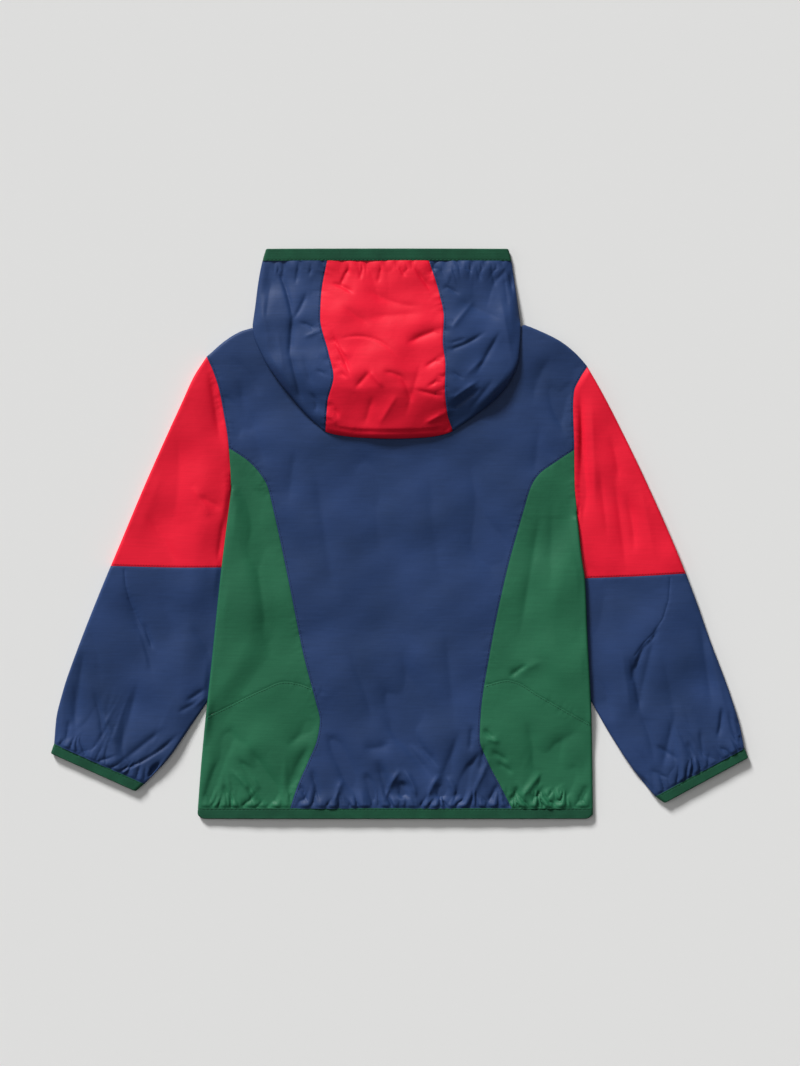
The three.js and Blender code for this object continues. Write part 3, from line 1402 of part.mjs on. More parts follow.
const hood = hoodPieces();
const HOOD_LAYER = [8, 30];
addPiece("hood_center", pieceAt(hood, 0, 160, ...HOOD_LAYER), RED);
addPiece("hood_side_left", pieceAt(hood, -110, 220, ...HOOD_LAYER), NAVY);
addPiece("hood_side_right", pieceAt(hood, 90, 220, ...HOOD_LAYER), NAVY);
addPiece("hood_binding", hoodBinding(), BINDING_GREEN);

addPiece("zip_tape_left", zipTape(-1), ZIP_NAVY);
addPiece("zip_tape_right", zipTape(1), ZIP_NAVY);
addPiece("zip_chain", zipChain(), ZIP_NAVY);
addPiece("zip_slider", zipSlider(), METAL);
addPiece("zip_pull", zipPull(), METAL);

export default jacket;
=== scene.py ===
"""A child's hooded windbreaker jacket, laid face down and flat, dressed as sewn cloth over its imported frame.

Every size below is in millimetres, in the frame of the part: +X is the wearer's right, +Y runs from the hem
to the hood and +Z is up from the surface that the jacket lies on. Meshes are made in metres.
"""

import logging
import math
from collections.abc import Callable, Sequence
from dataclasses import dataclass
from enum import Enum
from typing import NamedTuple

import bpy
import numpy as np
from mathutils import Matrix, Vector
from mathutils.geometry import delaunay_2d_cdt

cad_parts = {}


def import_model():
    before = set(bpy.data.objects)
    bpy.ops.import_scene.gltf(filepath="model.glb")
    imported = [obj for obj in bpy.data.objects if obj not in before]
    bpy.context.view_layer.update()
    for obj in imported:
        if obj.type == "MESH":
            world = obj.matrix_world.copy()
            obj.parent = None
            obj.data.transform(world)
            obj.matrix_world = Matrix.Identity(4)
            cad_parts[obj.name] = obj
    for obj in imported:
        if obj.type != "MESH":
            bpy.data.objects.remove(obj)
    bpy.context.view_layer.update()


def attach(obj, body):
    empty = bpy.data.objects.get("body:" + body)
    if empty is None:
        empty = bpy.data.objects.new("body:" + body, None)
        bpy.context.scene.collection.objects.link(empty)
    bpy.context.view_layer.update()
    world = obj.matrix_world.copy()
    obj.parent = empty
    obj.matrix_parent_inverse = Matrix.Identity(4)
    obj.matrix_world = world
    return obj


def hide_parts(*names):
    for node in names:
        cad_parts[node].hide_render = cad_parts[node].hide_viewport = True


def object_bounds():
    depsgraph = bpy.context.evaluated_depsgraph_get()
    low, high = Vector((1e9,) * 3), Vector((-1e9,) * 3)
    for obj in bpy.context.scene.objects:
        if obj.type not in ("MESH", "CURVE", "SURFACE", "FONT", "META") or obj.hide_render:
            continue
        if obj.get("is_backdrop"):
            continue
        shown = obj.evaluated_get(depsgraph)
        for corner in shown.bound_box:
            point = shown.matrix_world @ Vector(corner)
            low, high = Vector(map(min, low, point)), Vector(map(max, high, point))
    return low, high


LOG = logging.getLogger("jacket")
MM = 0.001
JACKET_BODY = "jacket"
PULL_BODY = "pull_tab"

Tree = bpy.types.NodeTree
Socket = bpy.types.NodeSocket
Array = np.ndarray
Line = Array  # rows of x, y
Height = Callable[[Array, Array], Array]
Mesh = tuple[Array, list[list[int]]]  # points and faces

# Driving sizes, as in the part
HEM_SEAM_Y, HEM_EDGE_Y = -273.5, -284.5
HOOD_SEAM_Y, HOOD_EDGE_Y = 272.5, 284.8
SEAM_GAP = 0.3
TUCKED_IN = 0.45  # how far the cloth runs into a binding
ZIP_X, ZIP_GAP, ZIP_TOP_Y = -8.0, 9.0, 157.0
LEFT_UNDERARM_Y, RIGHT_UNDERARM_Y = 44.0, 16.0
BINDING_WALL, BINDING_PROUD = 2.2, 0.5
BODY_LEAST, BODY_EDGE, BODY_MID, BODY_RIM = 4.3, 5.0, 6.2, 2.6
SLEEVE_HEIGHT, SLEEVE_RIM = 6.2, 2.4
TUCK_HEIGHT, TUCK_LIFT, TUCK_RAMP = 2.9, 3.5, 30.0
HOOD_RIM, HOOD_REST, HOOD_SPLIT_Y, HOOD_SPLIT_REACH = 8.0, 0.4, 208.0, 8.0
SHOULDER_ROLL = 7.0
CUFF_WIDTH, FACE_BINDING_WIDTH = 10.5, 10.5
SLIDER_Y, SLIDER_RISE, SLIDER_LIFT = 148.0, 1.3, 2.05

# Outlines: rows of (y, x) unless a comment says otherwise
LEFT_SIDE = ((-285, -202.8), (-228, -198.5), (-132, -188.5), (-36, -178.5), (44, -168.5))
RIGHT_SIDE = ((-285, 193), (-192, 191.5), (-96, 187), (-48, 185), (-24, 181.7), (16, 177.3))
LEFT_ARMHOLE = (
    (44, -168.3), (72, -170), (96, -172), (120, -176), (144, -180.5), (160, -185.5), (177, -193), (190, -200),
)  # fmt: skip
RIGHT_ARMHOLE = (
    (16, 177.3), (48, 174.5), (90, 173.8), (126, 172.8), (142, 173.8), (156, 180), (167, 187), (180, 195),
)  # fmt: skip
LEFT_SHOULDER = ((160, -220), (177, -193.5), (192, -176), (202, -160), (206, -147), (212, -120))
RIGHT_SHOULDER = ((155, 196), (167, 187.5), (180, 176), (192, 161), (204, 137), (210, 120.5), (214, 100))
LEFT_BACK_SEAM = (
    (-275, -110), (-252, -102.5), (-228, -92), (-204, -82.5), (-186, -80), (-168, -84), (-120, -96.5),
    (-48, -111), (24, -126.5), (48, -132.5), (60, -139.5), (72, -150.5), (86, -171.5), (90, -180),
)  # fmt: skip
RIGHT_BACK_SEAM = (
    (-275, 112), (-252, 100.5), (-228, 88), (-204, 79.5), (-180, 80.5), (-120, 89.5),
    (-48, 104), (24, 123.5), (48, 131), (60, 139), (72, 155.5), (84, 174), (89, 184),
)  # fmt: skip
# The next four are rows of (x, y)
LEFT_ACROSS = ((-196, -184), (-166, -169), (-139.6, -156), (-114.7, -147), (-101.5, -149), (-84, -155.5))
RIGHT_ACROSS = ((86, -150.5), (107, -145.6), (117.6, -148), (136.7, -159.5), (166, -176.4), (195, -192.5))
BACK_NECK = ((-160, 213), (-146, 205), (-100, 193), (-13, 186), (75, 194), (120, 207), (134, 216))
FRONT_NECK = (
    (-160, 213), (-146, 205), (-112, 172), (-62, 145), (-8, 134), (46, 146), (90, 174), (120, 207),
    (134, 216),
)  # fmt: skip
# The hood's rows of (y, left, right), its crest's of (y, height) and its two seams' of (y, x)
HOOD_ROWS = (
    (95, -9.5, -9.5), (96, -38, 22), (98, -58, 38), (101.5, -73, 50), (108, -81, 60), (120, -94, 77),
    (136, -108, 96.5), (155, -123, 111), (175, -136, 118.5), (206, -147, 120.3), (228, -144.5, 118),
    (252, -141.5, 114.5), (272.5, -137.5, 111.5), (286, -133.5, 108),
)  # fmt: skip
HOOD_CREST = (
    (95, 12), (98, 14.6), (104, 16.6), (112, 18.2), (124, 20.8), (138, 24.0), (147, 25.5), (158, 25.4),
    (172, 23.6), (190, 20.8), (206, 18.2), (228, 14.5), (252, 10.2), (272.5, 8), (286, 7.4),
)  # fmt: skip
HOOD_LEFT_SEAM = (
    (85, -76), (108, -74), (132, -72), (156, -66), (180, -71), (216, -79.5), (240, -78.5), (274, -72.5),
)  # fmt: skip
HOOD_RIGHT_SEAM = (
    (85, 57), (103, 52.5), (120, 47), (144, 44.5), (168, 45), (192, 42.5), (216, 43.5), (240, 39),
    (274, 28.5),
)  # fmt: skip
# Rows of (y, share of the reach to the side)
FACE_EDGE = ((161, 0.05), (166, 0.2), (180, 0.42), (210, 0.58), (245, 0.68), (284.5, 0.72))
# A sleeve's sections from the shoulder to the cuff: (outer x, outer y, inner x, inner y)
LEFT_SLEEVE = (
    (-193.2, 177, -168.5, 44), (-206, 157, -168.4, 29), (-217.5, 132, -169.5, 6), (-239.5, 84, -160, -30),
    (-260.5, 36, -154, -62), (-280.5, -12, -153, -92), (-300.5, -60, -164, -124), (-319.5, -108, -186, -158),
    (-336.5, -156, -211, -195), (-343.5, -185, -231, -224), (-345.5, -209, -255, -249.5),
)  # fmt: skip
RIGHT_SLEEVE = (
    (187.2, 167, 177.9, 16), (196, 152, 177, 2), (209, 128, 177.5, -18), (231, 84, 166, -45),
    (253.5, 36, 159, -72), (274.5, -12, 157, -98), (293.5, -60, 166, -128), (310.5, -108, 185, -157),
    (328.5, -156, 208, -197), (338.5, -188, 232, -234), (344, -213.5, 254.6, -262),
)  # fmt: skip
LEFT_DART = ((-275, -35.5), (-274, -49), (-270, -66), (-262, -84), (-254, -99), (-249, -112))  # (x, y)
RIGHT_DART = ((270, -41.5), (268, -66), (262.5, -84), (253, -99), (243, -109), (235, -121))  # (x, y)
LEFT_SLEEVE_SEAM = ((-300, -31.5), (-215, -33.5), (-130, -33))  # (x, y)
RIGHT_SLEEVE_SEAM = ((130, -46), (230, -42.5), (300, -38.5))  # (x, y)


class Crease(NamedTuple):
    """A fold pressed into the cloth: a trough, or a ridge where its depth is negative.

    It runs from one point to the other, bowed sideways at its middle. Its left flank is as wide as width
    says, and its right flank is that times steep.
    """

    x0: float
    y0: float
    x1: float
    y1: float
    width: float
    depth: float
    bow: float = 0.0
    steep: float = 1.0


def creases(*rows: tuple[float, ...]) -> tuple[Crease, ...]:
    """Creases from rows of (x0, y0, x1, y1, width, depth), some with their bow and steep as well."""
    return tuple(Crease(*row) for row in rows)


BODY_CREASES = creases(
    # The largest folds, shared with the part
    (-66, -205, -44, -262, 7.2, 1.4), (-14, -186, 34, -246, 8.2, 1.3), (2, -120, 18, -190, 10, 0.9),
    (58, -200, 40, -262, 6.6, 1.3), (-22, -228, -8, -266, 6.6, 1.3), (-92, -212, -112, -258, 6.6, 1.3),
    (-168, -196, -190, -262, 6.6, 1.2), (-150, -215, -118, -264, 5.5, 1.1),
    (128, -190, 140, -240, 7.7, 1.0), (162, -205, 132, -262, 6, 1.2), (-84, 60, -66, -60, 12, 0.8),
    (70, 70, 92, -40, 11, 0.9), (-150, 20, -130, -120, 7.7, 0.7), (140, 20, 120, -100, 7.7, 0.8),
    (150, 150, 164, 100, 6.6, 1.0), (-160, 150, -150, 100, 6.6, 0.7),
    # The left side panel above the hem
    (-190, -268, -179, -230, 3.4, 1.5, 1.5, 0.6), (-160, -227, -124, -268, 3.2, 1.5, 2, 0.5),
    (-168, -236, -140, -268, 3.0, -0.9, 1), (-139, -255, -128, -268, 2.2, 1.0),
    (-176, -252, -166, -268, 2.4, 0.9), (-152, -252, -147, -268, 2.2, 0.8),
    (-85, -188, -112, -212, 8, 0.9), (-180, -200, -150, -214, 10, 0.5, 3),
    # The back above the hem
    (-72, -202, -50, -250, 5.5, 1.2, 2, 0.6), (-88, -236, -80, -266, 3, 1.1),
    (-100, -250, -92, -268, 2.4, 1.0), (-58, -246, -66, -268, 3, -0.9),
    (6, -203, 37, -232, 4.5, 1.2, 2, 0.55), (-36, -214, -10, -209, 7, 0.8, -2),
    (2, -264, 3, -247, 5.2, 1.9), (-14, -264, 0, -236, 2.6, -1.1, 2), (4, -236, 16, -262, 2.6, -1.0, 2),
    (40, -264, 42, -251, 4.6, 1.7), (28, -262, 39, -241, 2.6, -0.9, 1),
    (45, -240, 57, -262, 2.6, -0.8, 1), (-34, -240, -26, -266, 3.4, 1.2, 1),
    (78, -220, 54, -266, 2.8, 1.4, -2, 0.6), (69, -228, 62, -268, 2.2, 1.1),
    (88, -226, 70, -266, 2.6, -0.9), (72, -192, 70, -216, 2.6, 0.8), (84, -212, 80, -238, 2.4, 0.8),
    (98, -250, 88, -268, 2.4, 1.0),
    # The right side panel
    (154, -238, 132, -266, 3, 1.4, 1, 0.6), (160, -240, 147, -264, 2.6, 1.1, 1),
    (174, -232, 165, -266, 3.2, 1.0), (143, -236, 122, -262, 3, -0.8), (118, -252, 112, -268, 2.4, 1.0),
    (186, -252, 181, -268, 2.4, 0.8), (84, -195, 93, -204, 2.2, 0.9), (86, -203, 99, -208, 2.2, -0.7),
    (92, -217, 107, -226, 2.4, 0.8), (97, -228, 112, -238, 2.2, 0.7),
    (110, -142, 126, -131, 3, 1.0, 0, 0.6), (116, -138, 140, -128, 5, -0.5),
    (178, -196, 150, -214, 9, 0.5),
    # Broad soft slants across the back, and by the shoulders
    (-19, -150, 22, -216, 7, 0.9), (-52, -116, -28, -188, 8, 0.6, 3), (46, -100, 54, -186, 9, 0.6),
    (-40, 90, -20, -20, 14, 0.5, 4), (30, 60, 44, -60, 14, 0.5, -3),
    (-176, 140, -160, 96, 5, 0.9, 2, 0.6), (-168, 176, -140, 140, 8, 0.6, 3),
    (-150, 120, -136, 70, 9, 0.6), (170, 150, 158, 112, 5, 0.8, -2), (150, 176, 132, 132, 9, 0.6, -3),
    (140, 110, 134, 60, 9, 0.5), (-104, 86, -112, 30, 9, 0.6), (-156, 60, -140, -10, 8, 0.5),
    (152, 30, 150, -60, 8, 0.5),
)  # fmt: skip
LEFT_SLEEVE_CREASES = creases(
    (-190, 160, -180, 96, 4.4, 1.3), (-252, 20, -222, -30, 7.7, 0.9), (-275, -50, -246, -140, 6.6, 1.3),
    (-316, -120, -326, -190, 6, 1.2), (-262, -150, -280, -220, 6.6, 1.3),
    (-238, -196, -276, -226, 4.4, 1.4), (-187, 158, -177, 108, 5, 1.2, 0, 0.5),
    (-175, 132, -171, 68, 2.2, -1.0, 1), (-222, 94, -226, 14, 11, 0.8, 3),
    (-236, 66, -262, -2, 13, -0.6), (-201, 37, -179, 25, 5, 0.8, 1),
    (-176, 16, -182, -27, 4, 1.1, 0, 0.6), (-206, 46, -190, 18, 5, -0.7),
    (-256, -90, -247, -114, 2.2, 1.0, 0, 0.5), (-262, -96, -252, -134, 4.6, -0.8, 1),
    (-208, -93, -186, -126, 7, 0.9, 2), (-296, -180, -285, -208, 4, -1.1),
    (-306, -158, -297, -206, 4.4, 1.0, 2, 0.6), (-224, -202, -280, -236, 2.6, 1.7, 4, 0.6),
    (-236, -214, -284, -240, 3, -0.9, 3), (-213, -167, -195, -155, 2.4, 1.1),
    (-206, -173, -190, -159, 2, -0.7), (-221, -178, -203, -168, 2, 0.9),
    (-325, -150, -322, -192, 5, 0.8), (-310, -96, -300, -150, 9, 0.6, 3),
    (-330, -186, -333, -206, 2.6, 0.9), (-240, -60, -222, -110, 10, 0.6),
)  # fmt: skip
RIGHT_SLEEVE_CREASES = creases(
    (180, 140, 184, 30, 4.4, 1.6), (214, 60, 226, -34, 6.6, 1.1), (256, -92, 236, -180, 6.6, 1.2),
    (300, -90, 312, -170, 7, 1.3), (274, -180, 262, -236, 5.5, 1.3),
    (181, 128, 183, 16, 3.2, 1.8, 0, 0.6), (191, 132, 195, 20, 6, -0.8), (210, 96, 218, 52, 6, 1.0, 2),
    (226, 38, 234, -16, 6, 1.2, 2), (199, 66, 207, -2, 5, 0.8), (240, 46, 254, -22, 7, -0.7),
    (258, -94, 243, -114, 1.8, 0.9, 1, 0.6), (244, -110, 232, -146, 3.4, 1.8, -1, 0.6),
    (231, -126, 241, -178, 5.4, 1.6, 0, 0.6), (221, -118, 230, -178, 5.6, -0.8),
    (262, -120, 276, -184, 8, 0.8), (307, -104, 328, -190, 7, -1.0),
    (321, -174, 317, -202, 2.4, 1.5, 1, 0.6), (328, -178, 335, -207, 2.2, 1.1),
    (287, -208, 294, -226, 2.4, 1.1), (240, -178, 254, -226, 5, 1.0, 2),
    (257, -212, 277, -225, 2.4, 1.0), (300, -196, 302, -222, 2.6, 1.0), (250, -236, 268, -244, 2.2, 0.8),
    (200, -150, 212, -186, 6, 0.6),
)  # fmt: skip
HOOD_CREASES = creases(
    # The left side
    (-121, 262, -107, 212, 4, 2.0, 2, 0.5), (-107, 216, -110, 178, 5.6, 2.4, 0, 0.55),
    (-110, 182, -98, 132, 5.6, 1.9, 0, 0.6), (-93, 240, -106, 214, 3.2, 1.4, 1),
    (-100, 210, -81, 200, 2.6, 1.3, 2, 0.6), (-95, 196, -78, 203, 2.4, -0.9),
    (-79, 178, -67, 170, 1.9, 1.0), (-83, 163, -68, 156, 1.9, 1.0), (-89, 140, -84, 121, 3, 1.3, 3),
    (-79, 135, -74, 113, 2.4, -1.0), (-115, 272, -118, 253, 2.2, 1.1), (-100, 272, -104, 250, 2.4, 1.2),
    (-86, 272, -91, 257, 2, 1.0), (-138, 236, -126, 144, 8, -1.0), (-128, 256, -134, 214, 4, 0.9),
    (-96, 176, -88, 150, 5, 0.9), (-122, 200, -116, 160, 5, -0.8),
    # The centre
    (-50, 266, -59, 248, 2.2, 1.6, -1, 0.6), (-67, 250, -47, 240, 2.8, 1.5, 1, 0.6),
    (-4, 272, 5, 257, 2, 1.2, 0, 0.6), (15, 266, 39, 237, 2.4, 1.6, -2, 0.6),
    (-30, 243, 18, 227, 7, 1.3, -4), (-75, 204, -50, 158, 2.7, 2.0, 3, 0.5),
    (-71, 185, -53, 165, 2, 1.2), (-66, 190, -50, 176, 3, -0.9), (-59, 194, -4, 178, 2.4, 0.9, 9, 0.5),
    (8, 190, 42, 204, 4.6, 1.9, 1), (-44, 145, -29, 162, 3.6, 1.4), (-31, 162, -17, 146, 3, -1.1),
    (-16, 161, 3, 155, 3, 1.2, 1), (1, 158, 11, 132, 3.6, 1.3, 1), (45, 178, 25, 166, 2.2, 1.3),
    (47, 160, 27, 146, 2.2, 1.4, 1), (45, 136, 15, 143, 2.4, 1.2), (51, 124, 25, 110, 3, -1.3),
    (48, 147, 35, 138, 1.8, 1.0), (-68, 168, -53, 155, 2.2, 1.3), (-73, 130, -61, 116, 3, 1.5, 2),
    (-75, 122, -63, 109, 2.4, -1.1), (-27, 136, -35, 109, 4.6, 0.9), (-3, 138, -21, 109, 5, -0.9),
    (-30, 216, 20, 220, 7, 0.8), (-56, 226, -30, 208, 6, 0.8), (20, 168, 6, 118, 5, 0.8),
    (-72, 103, 53, 104, 1.3, 1.0, -2.5), (-18, 268, -22, 250, 2.2, 0.9), (-36, 270, -40, 254, 2, 1.0),
    # The right side
    (55, 272, 71, 262, 2.2, 1.4, 0, 0.6), (39, 250, 59, 239, 2.2, 1.4, 0, 0.6),
    (74, 272, 81, 253, 2.1, 1.1), (90, 271, 95, 248, 2.4, 1.0), (53, 212, 43, 200, 2.2, 1.1),
    (73, 232, 50, 203, 4, -1.2), (83, 200, 45, 182, 3.6, 1.7, 2, 0.6),
    (99, 200, 76, 160, 4, 1.4, 0, 0.6), (100, 236, 112, 172, 6.5, -1.0), (77, 152, 49, 132, 3, -1.4),
    (79, 144, 51, 124, 3, 1.5), (93, 153, 69, 123, 5, 1.1), (47, 163, 63, 154, 2, 1.1),
    (48, 189, 65, 194, 2, 1.0), (60, 232, 100, 214, 7, 1.2), (104, 262, 108, 226, 4, 0.9),
    (84, 176, 66, 158, 4, -0.9),
)  # fmt: skip


# Numbers


def smooth(t: Array) -> Array:
    """An even rise from 0 to 1 as t goes from 0 to 1."""
    t = np.clip(t, 0, 1)
    return t * t * (3 - 2 * t)


def mix(a: Array, b: Array, t: Array) -> Array:
    """A value between a and b, a at t = 0."""
    return a + (b - a) * t


def uneven(index: Array, seed: float) -> Array:
    """Numbers from 0 to 1 that are uneven but always the same."""
    wave = np.sin(index * 127.1 + seed * 311.7) * 43758.5453
    return wave - np.floor(wave)


def swell(x: Array, y: Array, length: float, seed: float) -> Array:
    """A slow unevenness of about -1 to 1.

    Args:
        x: The points' x.
        y: The points' y.
        length: About how long its waves are.
        seed: A number that sets the waves' directions and places.

    Returns:
        The value at each point.
    """
    total = np.zeros_like(x)
    for i in range(5):
        angle = 2 * math.pi * float(uneven(i, seed))
        pace = 2 * math.pi / (length * (0.6 + 0.8 * float(uneven(i, seed + 1))))
        shift = 6.28 * float(uneven(i, seed + 2))
        total += np.sin(pace * (x * math.cos(angle) + y * math.sin(angle)) + shift)
    return total / 2.6


class Track:
    """A smooth curve through rows of (place, value), which never swings past them and is straight beyond."""

    def __init__(self, rows: Sequence[tuple[float, float]]) -> None:
        """Sorts the rows by place and works out the slope at each."""
        self.at, self.value = np.array(sorted(rows), float).T
        chord = np.diff(self.value) / np.diff(self.at)
        before, after = chord[:-1], chord[1:]
        total = np.where(before + after == 0, 1, before + after)
        middle = np.where(before * after <= 0, 0, 2 * before * after / total)
        self.slope = np.concatenate([[chord[0]], middle, [chord[-1]]])

    def __call__(self, t: Array) -> Array:
        """Reads the curve.

        Args:
            t: The places to read it at.

        Returns:
            The value at each.
        """
        t = np.asarray(t, float)
        i = np.clip(np.searchsorted(self.at, t, side="right") - 1, 0, len(self.at) - 2)
        width = self.at[i + 1] - self.at[i]
        u = np.clip((t - self.at[i]) / width, 0, 1)
        turn = self.slope[i] * u * (1 - u) ** 2 - self.slope[i + 1] * u * u * (1 - u)
        inside = mix(self.value[i], self.value[i + 1], u * u * (3 - 2 * u)) + width * turn
        below = np.minimum(0, t - self.at[0]) * self.slope[0]
        return inside + below + np.maximum(0, t - self.at[-1]) * self.slope[-1]


# Lines in the plane of the jacket

EDGE_STEP = 2.2


def spaced(points: Line, step: float = EDGE_STEP) -> Line:
    """The same line with points a step apart."""
    reached = np.concatenate([[0], np.cumsum(np.hypot(*np.diff(points, axis=0).T))])
    places = np.linspace(0, reached[-1], max(2, round(reached[-1] / step)) + 1)
    return np.column_stack([np.interp(places, reached, points[:, k]) for k in (0, 1)])


def along_y(track: Track, start: float, end: float) -> Line:
    """The line x(y) from one y to another."""
    y = np.linspace(start, end, 400)
    return spaced(np.column_stack([track(y), y]))


def along_x(track: Track, start: float, end: float) -> Line:
    """The line y(x) from one x to another."""
    x = np.linspace(start, end, 400)
    return spaced(np.column_stack([x, track(x)]))


def beside(line: Line, distance: float) -> Line:
    """A line moved to its own left by a distance."""
    run = np.gradient(line, axis=0)
    run /= np.hypot(*run.T)[:, None]
    return line + distance * np.column_stack([-run[:, 1], run[:, 0]])


def nearest(line: Line, x: Array, y: Array) -> tuple[Array, Array]:
    """How far points are from a line.

    Args:
        line: The line's points.
        x: The points' x.
        y: The points' y.

    Returns:
        Each point's distance from the line, and how far along the line its nearest place is.
    """
    start, run = line[:-1], np.diff(line, axis=0)
    lengths = np.hypot(*run.T)
    reached = np.concatenate([[0], np.cumsum(lengths)])[:-1]
    distance, along = np.empty(x.size), np.empty(x.size)
    for part in np.array_split(np.arange(x.size), 1 + x.size * len(run) // 1_500_000):
        dx, dy = x[part, None] - start[None, :, 0], y[part, None] - start[None, :, 1]
        share = np.clip((dx * run[:, 0] + dy * run[:, 1]) / lengths**2, 0, 1)
        away = np.hypot(dx - share * run[:, 0], dy - share * run[:, 1])
        best = away.argmin(1)
        rows = np.arange(len(part))
        distance[part] = away[rows, best]
        along[part] = reached[best] + share[rows, best] * lengths[best]
    return distance, along


def winding(closed: Line, points: Line) -> Array:
    """Whether each point lies inside a closed line."""
    x, y = points.T
    x0, y0, x1, y1 = closed[:-1, 0], closed[:-1, 1], closed[1:, 0], closed[1:, 1]
    above = (y0[None] > y[:, None]) != (y1[None] > y[:, None])
    slope = (x1 - x0) / np.where(y1 == y0, 1, y1 - y0)
    meets = x[:, None] < slope[None] * (y[:, None] - y0[None]) + x0[None]
    return (above & meets).sum(1) % 2 == 1


def crossing(a: Line, b: Line) -> tuple[float, float, Array]:
    """Where two lines cross.

    Args:
        a: The first line.
        b: The second line.

    Returns:
        The place on each as a number of points, and the point itself.
    """
    p, r = a[:-1, None], np.diff(a, axis=0)[:, None]
    q, s = b[None, :-1], np.diff(b, axis=0)[None]
    across = r[..., 0] * s[..., 1] - r[..., 1] * s[..., 0]
    across = np.where(np.abs(across) < 1e-12, 1e-12, across)
    gap = q - p
    t = (gap[..., 0] * s[..., 1] - gap[..., 1] * s[..., 0]) / across
    u = (gap[..., 0] * r[..., 1] - gap[..., 1] * r[..., 0]) / across
    slack = 1e-9
    met = np.argwhere((t >= -slack) & (t <= 1 + slack) & (u >= -slack) & (u <= 1 + slack))
    if not len(met):
        raise ValueError(f"lines from {a[0]} to {a[-1]} and from {b[0]} to {b[-1]} don't cross")
    i, j = met[0]
    return i + t[i, j], j + u[i, j], a[i] + t[i, j] * (a[i + 1] - a[i])


def drop_of(creases: Sequence[Crease], x: Array, y: Array, narrow: float = 1.0) -> Array:
    """How far creases lower the cloth, where each fades towards both its ends.

    Args:
        creases: The creases.
        x: The points' x.
        y: The points' y.
        narrow: How wide the creases are as a share of what they say.

    Returns:
        The drop at each point.
    """
    total = np.zeros_like(x)
    for crease in creases:
        run = np.array([crease.x1 - crease.x0, crease.y1 - crease.y0])
        length = float(np.hypot(*run))
        along = ((x - crease.x0) * run[0] + (y - crease.y0) * run[1]) / length**2
        across = ((x - crease.x0) * run[1] - (y - crease.y0) * run[0]) / length
        held = np.clip(along, 0, 1)
        across = across + crease.bow * 4 * held * (1 - held)
        width = narrow * crease.width * np.where(across > 0, crease.steep, 1.0)
        fade = smooth((along + 0.12) / 0.42) * smooth((1.12 - along) / 0.42)
        total += crease.depth * fade * np.exp(1.25 * (0.16 - np.hypot(across / width, 0.16)))
    return total


@dataclass(frozen=True)
class Gathers:
    """Cloth drawn in by an elastic binding: uneven tucks that start at the seam and die out up the cloth."""

    count: int
    seed: int
    depth: float
    reach: float
    ripple: float = 0.16
    ripple_pitch: float = 4.1
    notch: float = 1.2

    def height(self, length: float, along: Array, distance: Array) -> Array:
        """How far the gathered cloth stands up.

        Args:
            length: The gathered seam's length.
            along: How far along the seam each point is.
            distance: How far from the seam each point is.

        Returns:
            Each point's height over the plain cloth.
        """
        number = np.arange(self.count)
        widths = 0.5 + 1.1 * uneven(number, self.seed)
        ends = np.concatenate([[0], np.cumsum(widths)]) * length / widths.sum()
        middles = (ends[1:] + ends[:-1]) / 2
        place = along - np.interp(along, middles, 1.9 * (uneven(number, self.seed + 6) - 0.5)) * distance
        depth = np.interp(place, middles, self.depth * (0.3 + 0.75 * uneven(number, self.seed + 2)))
        reach = np.interp(place, middles, self.reach * (0.3 + 1.1 * uneven(number, self.seed + 4)))
        index = np.clip(np.searchsorted(ends, place) - 1, 0, self.count - 1)
        phase = (place - ends[index]) / (ends[index + 1] - ends[index])
        ridge = np.abs(np.sin(math.pi * phase)) ** 0.7
        valley = np.minimum(phase, 1 - phase) * (ends[index + 1] - ends[index])
        pit = self.notch * (0.3 + uneven(np.round(phase) + index, self.seed + 9)) * np.exp(-valley / 1.2)
        pit = pit * np.exp(-((distance / (0.32 * reach)) ** 2))
        ripple = np.sin(2 * math.pi * along / self.ripple_pitch + 2.4 * np.sin(along / 9.0 + self.seed))
        held = 1 - 0.8 * np.exp(-((distance / 1.7) ** 2))
        tucks = depth * (ridge - 0.42) * (1 - smooth(distance / reach))
        ends_calm = smooth(np.minimum(along, length - along) / 6 + distance / 20)
        return ends_calm * (held * (tucks + self.ripple * ripple * np.exp(-((distance / 6.0) ** 2))) - pit)


HEM_GATHERS = Gathers(38, 1, 4.2, 27)
LEFT_CUFF_GATHERS = Gathers(10, 7, 3.2, 26)
RIGHT_CUFF_GATHERS = Gathers(10, 11, 3.2, 26)
HOOD_GATHERS = Gathers(17, 23, 2.6, 22)
# Larger folds that the same elastic draws up
HEM_FOLDS = Gathers(15, 31, 3.3, 58, ripple=0, notch=0)
CUFF_FOLDS = Gathers(5, 37, 2.4, 70, ripple=0, notch=0)
HOOD_FOLDS = Gathers(7, 43, 1.8, 46, ripple=0, notch=0)


class Seam(NamedTuple):
    """A sewn line: the cloth dips into it and puckers beside it."""

    line: Line
    pucker: float = 0.22
    pitch: float = 9.0
    reach: float = 6.0
    dip: float = 0.2
    seed: float = 0.0

    def relief(self, x: Array, y: Array) -> Array:
        """How far the seam raises or lowers the cloth at points.

        Args:
            x: The points' x.
            y: The points' y.

        Returns:
            The rise at each point.
        """
        distance, along = nearest(self.line, x, y)
        pace = along / self.pitch
        wave = np.sin(2 * math.pi * pace + 2.6 * np.sin(1.9 * pace + self.seed) + 0.25 * distance)
        beat = np.sin(along / 17 + 1.7 * self.seed) * np.sin(along / 41 + self.seed)
        strength = 0.1 + 0.9 * smooth(0.5 + 0.8 * beat)
        puckers = self.pucker * wave * strength * np.exp(-((distance / self.reach) ** 2))
        return puckers - self.dip * np.exp(-((distance / 0.95) ** 2))


# Forms: how high the cloth of the body, a sleeve and the hood lies


